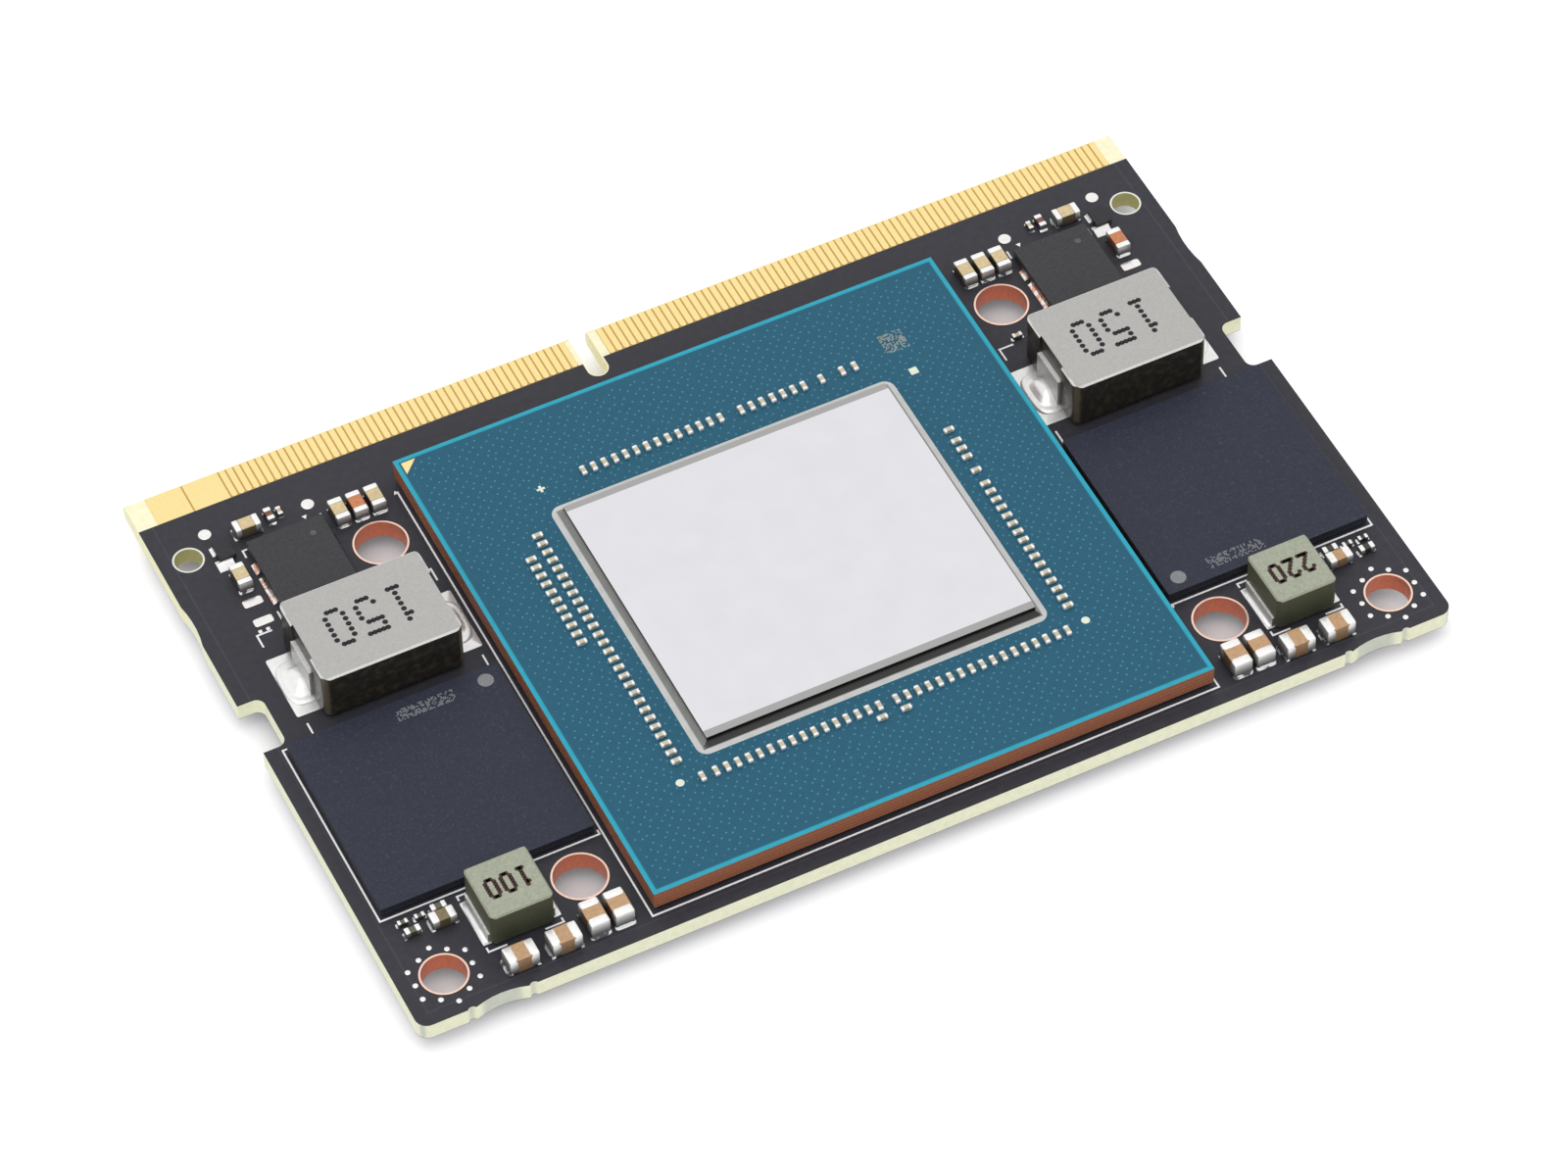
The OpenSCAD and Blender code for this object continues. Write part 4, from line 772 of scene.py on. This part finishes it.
class MODULE_OT_power(bpy.types.Operator):
    """Finish, solder and numbers of the power stages and inductors"""
    bl_idname = "module.power"
    bl_label = "Power"

    def lowered_copy(self, node, drop, material):
        """Copy of a large core whose top face is lowered by drop, so that its ink stays below the core's box."""
        work = bmesh.new()
        work.from_mesh(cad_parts[node].data)
        bmesh.ops.remove_doubles(work, verts=work.verts, dist=WELD)
        mesh = bpy.data.meshes.new(node + "_core")
        work.to_mesh(mesh)
        work.free()
        points = points_of(mesh)
        top = points[:, 2].max()
        points[:, 2] -= drop * (points[:, 2] > top - WELD)
        mesh.vertices.foreach_set("co", points.ravel())
        mesh.shade_smooth()
        mesh.set_sharp_from_angle(angle=radians(20))
        place_piece(node + "_core", mesh, material, [node])

    def joints(self, kind, rise, widen, profile):
        """Flat lands under inductors, and before each strap a mound of solder out to the edge of its land."""
        cores = [kind + "_inductor_left", kind + "_inductor_right"]
        name = kind + "_inductor_solder"
        low, high = solids_of(name)
        floor = low[:, 2].min()
        outer = np.where(facing(low, high, *cores) > 0, high[:, :2], low[:, :2])
        strap_low, strap_high = solids_of(kind + "_inductor_straps")
        way = facing(strap_low, strap_high, *cores)
        face = np.where(way > 0, strap_high[:, :2], strap_low[:, :2])
        offset = (strap_low + strap_high)[:, None, :2] - (low + high)[:, :2]
        land = np.abs(offset).sum(axis=2).argmin(axis=1)
        reach = np.abs((outer[land] - face) * way).sum(axis=1)
        middle = np.where(way == 0, (strap_low + strap_high)[:, :2] / 2, face)
        half = np.where(way == 0, widen * (strap_high - strap_low)[:, :2] / 2, reach[:, None])
        flat, flat_faces = mounds(low, at_height(high[:, :2], floor + LAND),
                                  exponent=0.06, profile=SLAB, columns=32)
        hill, hill_faces = mounds(at_height(middle - half, floor), at_height(middle + half, floor + rise),
                                  exponent=0.6, profile=profile, columns=32)
        faces = flat_faces + [[k + len(flat) for k in corners] for corners in hill_faces]
        add_piece(name + "_mounds", np.concatenate([flat, hill]), faces, bpy.data.materials["Solder"], "solder",
                  [name])

    def number(self, node, text, pitch, radius, drop, thick, ink):
        """Prints a number in the middle of a core, on a face that lies lower than its box by drop."""
        low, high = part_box(node)
        places = digit_dots(text, pitch, ((low + high) / 2)[:2])
        add_piece(node + "_number", *ink_dots(places, radius, high.z - drop, thick), ink, "print")

    def execute(self, context):
        look = context.scene.module_power
        Finish("Power stage mould", look.stage).on("power_stage_left", "power_stage_right")
        Finish("Diode mould", look.diode, "Power stage mould").on("diodes")

        leads = Finish("Lead solder", context.scene.module_board.solder)
        leads.tint(leads.patches(look.patch_size, 0.47, 0.53), look.joint_copper)
        low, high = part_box("power_stage_left")
        across = leads.axes()["X"]
        covered = leads.smooth(across, (low.x + high.x) / 2, high.x)
        covered = leads.math("MULTIPLY", covered, leads.smooth(across, MM, 0))
        leads.tint(covered, look.stage).on("power_stage_leads")

        large = Finish("Large pressed core", look.large_side)
        large.tint(large.patches(look.patch_size, 0.4, 0.8), look.large_patch, amount=0.6)
        # Painted highlight where the rounded upright corners face diagonally
        slope = large.normal()
        corner = large.math("ABSOLUTE", large.math("MULTIPLY", slope["X"], slope["Y"]))
        large.tint(large.smooth(corner, 0.2, 0.5), look.large_corner_highlight, amount=0.35)
        large.tint(large.up(), look.large_top)
        # Painted highlight on the sloping bevels round the top
        large.tint(large.between(slope["Z"], 0.3, 0.5, 0.85, 0.95), look.large_bevel_highlight)
        core = large.on("large_inductor_left", "large_inductor_right")

        small = Finish("Small pressed core", look.small_side)
        small.tint(small.up(), look.small_top).on("small_inductor_left", "small_inductor_right")

        strap = Finish("Strap tin", context.scene.module_processor.tin)
        # Painted shade on the strap faces, darkest by the board
        strap.paint_wall_shade(look.strap_wall_shade, foot=look.strap_foot_shade)
        strap.on("large_inductor_straps", "small_inductor_straps")
        self.joints("large", look.large_climb, widen=1.3, profile=RIPPLED)
        self.joints("small", look.small_climb, widen=1, profile=SLAB)

        ink = Finish("Large inductor ink", look.large_ink, "Inductor ink").on()
        for node in ("large_inductor_left", "large_inductor_right"):
            self.lowered_copy(node, look.ink_depth, core)
            self.number(node, look.large_number, look.large_pitch, look.large_dot, look.ink_depth,
                        look.ink_depth / 2, ink)
        mark = Finish("Stage mark", look.stage_mark).on()
        for node in ("power_stage_left", "power_stage_right"):
            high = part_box(node)[1]
            place = np.array(high)[None, :2] + look.stage_place
            dot = ink_dots(place, look.stage_dot, high.z, INK, columns=16)
            add_piece(node + "_dot", *dot, mark, "print")
        ink = Finish("Small inductor ink", look.small_ink, "Inductor ink").on()
        for node, text in (("small_inductor_left", look.small_left), ("small_inductor_right", look.small_right)):
            self.number(node, text, look.small_pitch, look.small_dot, 0, INK, ink)
        return {"FINISHED"}


# Chip capacitors

class ChipLook(bpy.types.PropertyGroup):
    beige: paint("#d2bd92", "Pale chip capacitors")
    orange: paint("#c47c50", "Orange chip capacitors")
    brown: paint("#bd9770", "Brown chip capacitors")
    olive: paint("#7d7050", "Olive chip capacitor")
    dark: paint("#3a352e", "Small chip capacitors")
    small_left: paint("#5f5f4a", "Small chip capacitors on the left")
    small_far: paint("#7a4a3e", "Small chip capacitors by the contacts")
    tiny_far: paint("#c8b590", "Tiny chip capacitors by the contacts")
    shadow: paint("#56565a", "Places where the solder before a chip mirrors the board")
    # Painted shade: how far the walls of chip bodies and metal ends are darkened beside their tops, more on the
    # left and by the board
    side_shade: share(0.55, "How bright the sides of a chip are beside its top")
    beige_side_shade: share(0.22, "The same for the pale chips")
    # Painted shade and painted reflection of the dark board on the walls of the metal ends
    end_wall_shade: share(0.85, "How bright the sides of a metal end are beside its top")
    left_wall_shade: share(0.4, "How bright walls that look left are beside the other walls")
    foot_wall_shade: share(0.1, "How bright walls are by the board beside their upper edges")
    body_foot_shade: share(0.6, "The same for ceramic bodies")
    end_share: share(0.3, "How much longer the ends of most chips are made, beside their length")
    solder_reach: length(0.11, "Reach of the solder before the largest chips")
    solder_share: share(0.4, "Reach of the solder before a low chip, as a share of its height")
    solder_spread: length(0.03, "How far the solder is wider than its chip on each side")
    shadow_size: length(0.6, "Size of the dark places on the solder")


class MODULE_OT_chips(bpy.types.Operator):
    """Finish, metal ends and solder of the chip capacitors beside the processor"""
    bl_idname = "module.chips"
    bl_label = "Chip capacitors"

    def execute(self, context):
        look = context.scene.module_chips
        ceramics = (
            ("Beige ceramic", look.beige, look.beige_side_shade, ["beige_capacitors"]),
            ("Orange ceramic", look.orange, look.side_shade, ["orange_capacitors"]),
            ("Brown ceramic", look.brown, look.side_shade, ["output_capacitors", "brown_capacitor"]),
            ("Olive ceramic", look.olive, look.side_shade, ["olive_capacitor"]),
            ("Small ceramic", look.dark, look.side_shade, ["small_capacitors"]),
            ("Tiny ceramic", look.dark, look.side_shade, ["tiny_capacitors"]))
        far = {"Small ceramic": look.small_far, "Tiny ceramic": look.tiny_far}
        for name, colour, tone, nodes in ceramics:
            finish = Finish(name, colour, "Ceramic")
            if name in far:
                axes = finish.axes()
                finish.tint(finish.smooth(axes["X"], 0, -MM), look.small_left)
                finish.tint(finish.smooth(axes["Y"], 0, MM), far[name])
            # Painted shade on the chip walls, more on the left and by the board
            finish.paint_wall_shade(tone, look.left_wall_shade, look.body_foot_shade).on(*nodes)
        Finish("Dark ceramic", look.dark, "Ceramic").paint_wall_shade(look.side_shade).on("decoupling_capacitors")

        bodies = [node for *_, nodes in ceramics for node in nodes]
        low, high = solids_of("capacitor_ends")
        tall = (high - low)[:, 2]
        way = facing(low, high, *bodies)
        large_far = (low[:, 1] > context.scene.module_board.far_from) & (tall > 0.5 * CHIP_HEIGHT)
        stretch = np.where(large_far, 0, look.end_share)[:, None]
        caps = pebbles(*lengthen(low, high, way, stretch), exponent=0.22, rows=9, columns=16)
        tin = Finish("End tin", context.scene.module_processor.tin, "Tin plating")
        # Painted shade and reflection of the board: end walls darker, most on the left and by the board
        tin = tin.paint_wall_shade(look.end_wall_shade, look.left_wall_shade, look.foot_wall_shade).on()
        add_piece("capacitor_caps", *caps, tin, "tin", ["capacitor_ends"])

        reach = np.minimum(look.solder_reach, look.solder_share * tall)
        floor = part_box("capacitor_solder")[0].z
        solder = skirts(low, high, way, floor, reach, look.solder_spread, climb=0.2 * tall, columns=20)
        wet = Finish("Chip solder", context.scene.module_board.solder, "Solder")
        wet = wet.tint(wet.patches(look.shadow_size, 0.47, 0.57), look.shadow).on()
        add_piece("capacitor_skirts", *solder, wet, "solder", ["capacitor_solder"])
        return {"FINISHED"}


# Underside

class UndersideLook(bpy.types.PropertyGroup):
    bulk: paint("#2e2a26", "Mould of the bulk capacitors")
    package: paint("#37373a", "Mould of the packages on the underside")
    crystal: paint("#8b8878", "Ceramic base of the clock crystal")
    lid: paint("#cfcfcc", "Metal lid of the clock crystal")


class MODULE_OT_underside(bpy.types.Operator):
    """Finish of the packages on the underside"""
    bl_idname = "module.underside"
    bl_label = "Underside"

    def execute(self, context):
        look = context.scene.module_underside
        Finish("Bulk capacitor mould", look.bulk).on("bulk_capacitors")
        package = Finish("Package mould", look.package)
        package.on("power_controller", "boot_flash", "identity_memory", "power_monitors")
        Finish("Crystal ceramic", look.crystal).on("clock_crystal_base")
        Finish("Crystal lid", look.lid).on("clock_crystal_lid")
        return {"FINISHED"}


# Stage

class StageLook(bpy.types.PropertyGroup):
    floor: paint("#f0f0f2", "Pale floor")
    floor_size: length(4000, "Side of the square floor")
    floor_gap: length(0.01, "Lowest point of the part to the floor")
    sky: share(0.9, "Even light from all round")
    floor_glow: share(0.3, "What the floor adds so that it looks white where no shadow falls")
    # Painted shadow under the board
    floor_shade: share(0.7, "How much of that is taken away under the board")
    key_power: FloatProperty(description="Power of the large soft lamp in watts", default=1.1)
    key_size: length(600, "Side of the large soft lamp")
    key_place: lengths((-160, -120, 650), "Place of the large soft lamp")
    azimuth: angle(-25.344, "Camera direction round the part")
    elevation: angle(50.721, "Camera height above the horizon")
    roll: angle(-1.30008, "Camera turn about its own axis")
    aim: lengths((-1.023, -2.268, 2.5), "Point on the board that the camera looks at")
    distance: length(409.13, "Camera to that point")
    lens: FloatProperty(description="Focal length in millimetres", default=152.4273)


class MODULE_OT_stage(bpy.types.Operator):
    """Floor, light and camera"""
    bl_idname = "module.stage"
    bl_label = "Stage"

    def seen(self, nodes):
        """1 for what the camera, a mirror or glass sees, 0 for light on its way to a surface."""
        path = nodes.add("LightPath").outputs
        plain = nodes.math("MAXIMUM", path["Is Camera Ray"], path["Is Glossy Ray"])
        return nodes.math("MAXIMUM", plain, path["Is Transmission Ray"])

    def floor(self, look):
        half = look.floor_size / 2
        mesh = bpy.data.meshes.new("floor")
        corners = [(x * half, y * half, -look.floor_gap) for x, y in ((-1, -1), (1, -1), (1, 1), (-1, 1))]
        mesh.from_pydata(corners, [], [(0, 1, 2, 3)])
        floor = bpy.data.objects.new("floor", mesh)
        floor.visible_diffuse = False
        floor.visible_shadow = False
        bpy.context.scene.collection.objects.link(floor)
        finish = Finish("Floor", look.floor)
        finish.shader.inputs["Emission Color"].default_value = (1, 1, 1, 1)
        # Painted shadow: the floor's glow is weaker under the board
        under = finish.smooth(finish.inside(*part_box("board")), -MM, 3 * MM)
        glow = finish.math("MULTIPLY_ADD", under, -look.floor_shade * look.floor_glow, look.floor_glow)
        glow = finish.math("MULTIPLY", self.seen(finish), glow)
        finish.feed(finish.shader.inputs["Emission Strength"], glow)
        mix = finish.add("MixShader", {"Fac": finish.add("NewGeometry").outputs["Backfacing"]})
        finish.feed(mix.inputs[1], finish.shader.outputs[0])
        finish.feed(mix.inputs[2], finish.add("BsdfTransparent").outputs[0])
        finish.feed(finish.output.inputs["Surface"], mix.outputs[0])
        mesh.materials.append(finish.on())

    def light(self, look):
        world = bpy.data.worlds.new("Studio")
        world.use_nodes = True
        bpy.context.scene.world = world
        nodes = Nodes(world.node_tree)
        background = world.node_tree.nodes["Background"].inputs
        nodes.feed(background["Color"], (1, 1, 1))
        strength = nodes.math("MULTIPLY_ADD", self.seen(nodes), 1 - look.sky, look.sky)
        nodes.feed(background["Strength"], strength)
        lamp = bpy.data.lights.new("Key", "AREA")
        lamp.energy = look.key_power
        lamp.size = look.key_size
        key = bpy.data.objects.new("Key", lamp)
        key.location = look.key_place
        key.rotation_euler = (-Vector(look.key_place)).to_track_quat("-Z", "Y").to_euler()
        bpy.context.scene.collection.objects.link(key)

    def camera(self, look):
        """Camera on a sphere round its aim, then turned about its own axis."""
        turn, rise = look.azimuth, look.elevation
        back = Vector((sin(turn) * cos(rise), -cos(turn) * cos(rise), sin(rise)))
        level = Vector((cos(turn), sin(turn), 0))
        tilt = back.cross(level)
        right = cos(look.roll) * level + sin(look.roll) * tilt
        axes = Matrix((right, back.cross(right), back)).transposed()
        lens = bpy.data.cameras.new("Camera")
        lens.lens = look.lens
        lens.sensor_fit = "HORIZONTAL"
        lens.clip_start = 0.01
        camera = bpy.data.objects.new("Camera", lens)
        camera.matrix_world = Matrix.Translation(Vector(look.aim) + back * look.distance) @ axes.to_4x4()
        bpy.context.scene.collection.objects.link(camera)
        bpy.context.scene.camera = camera

    def execute(self, context):
        look = context.scene.module_stage
        self.floor(look)
        self.light(look)
        self.camera(look)
        context.scene.view_settings.view_transform = "Standard"
        return {"FINISHED"}


OPERATORS = (MODULE_OT_board, MODULE_OT_processor, MODULE_OT_memory, MODULE_OT_power, MODULE_OT_chips,
             MODULE_OT_underside, MODULE_OT_stage)
LOOKS = {
    "module_board": BoardLook,
    "module_processor": ProcessorLook,
    "module_memory": MemoryLook,
    "module_power": PowerLook,
    "module_chips": ChipLook,
    "module_underside": UndersideLook,
    "module_stage": StageLook,
}


class MODULE_PT_panel(bpy.types.Panel):
    """Lists the steps that dress the module"""
    bl_idname = "MODULE_PT_panel"
    bl_label = "System on module"
    bl_space_type = "VIEW_3D"
    bl_region_type = "UI"
    bl_category = "Module"

    def draw(self, context):
        for operator in OPERATORS:
            self.layout.operator(operator.bl_idname)
        for name, look in LOOKS.items():
            box = self.layout.box()
            for key in look.__annotations__:
                box.prop(getattr(context.scene, name), key, text=key.replace("_", " ").capitalize())


CLASSES = (*LOOKS.values(), *OPERATORS, MODULE_PT_panel)


def register():
    for kind in CLASSES:
        bpy.utils.register_class(kind)
    for name, look in LOOKS.items():
        setattr(bpy.types.Scene, name, PointerProperty(type=look))


def unregister():
    for name in LOOKS:
        delattr(bpy.types.Scene, name)
    for kind in reversed(CLASSES):
        bpy.utils.unregister_class(kind)


def main():
    register()
    for operator in OPERATORS:
        group, name = operator.bl_idname.split(".")
        getattr(getattr(bpy.ops, group), name)()


if __name__ == "__main__":
    main()
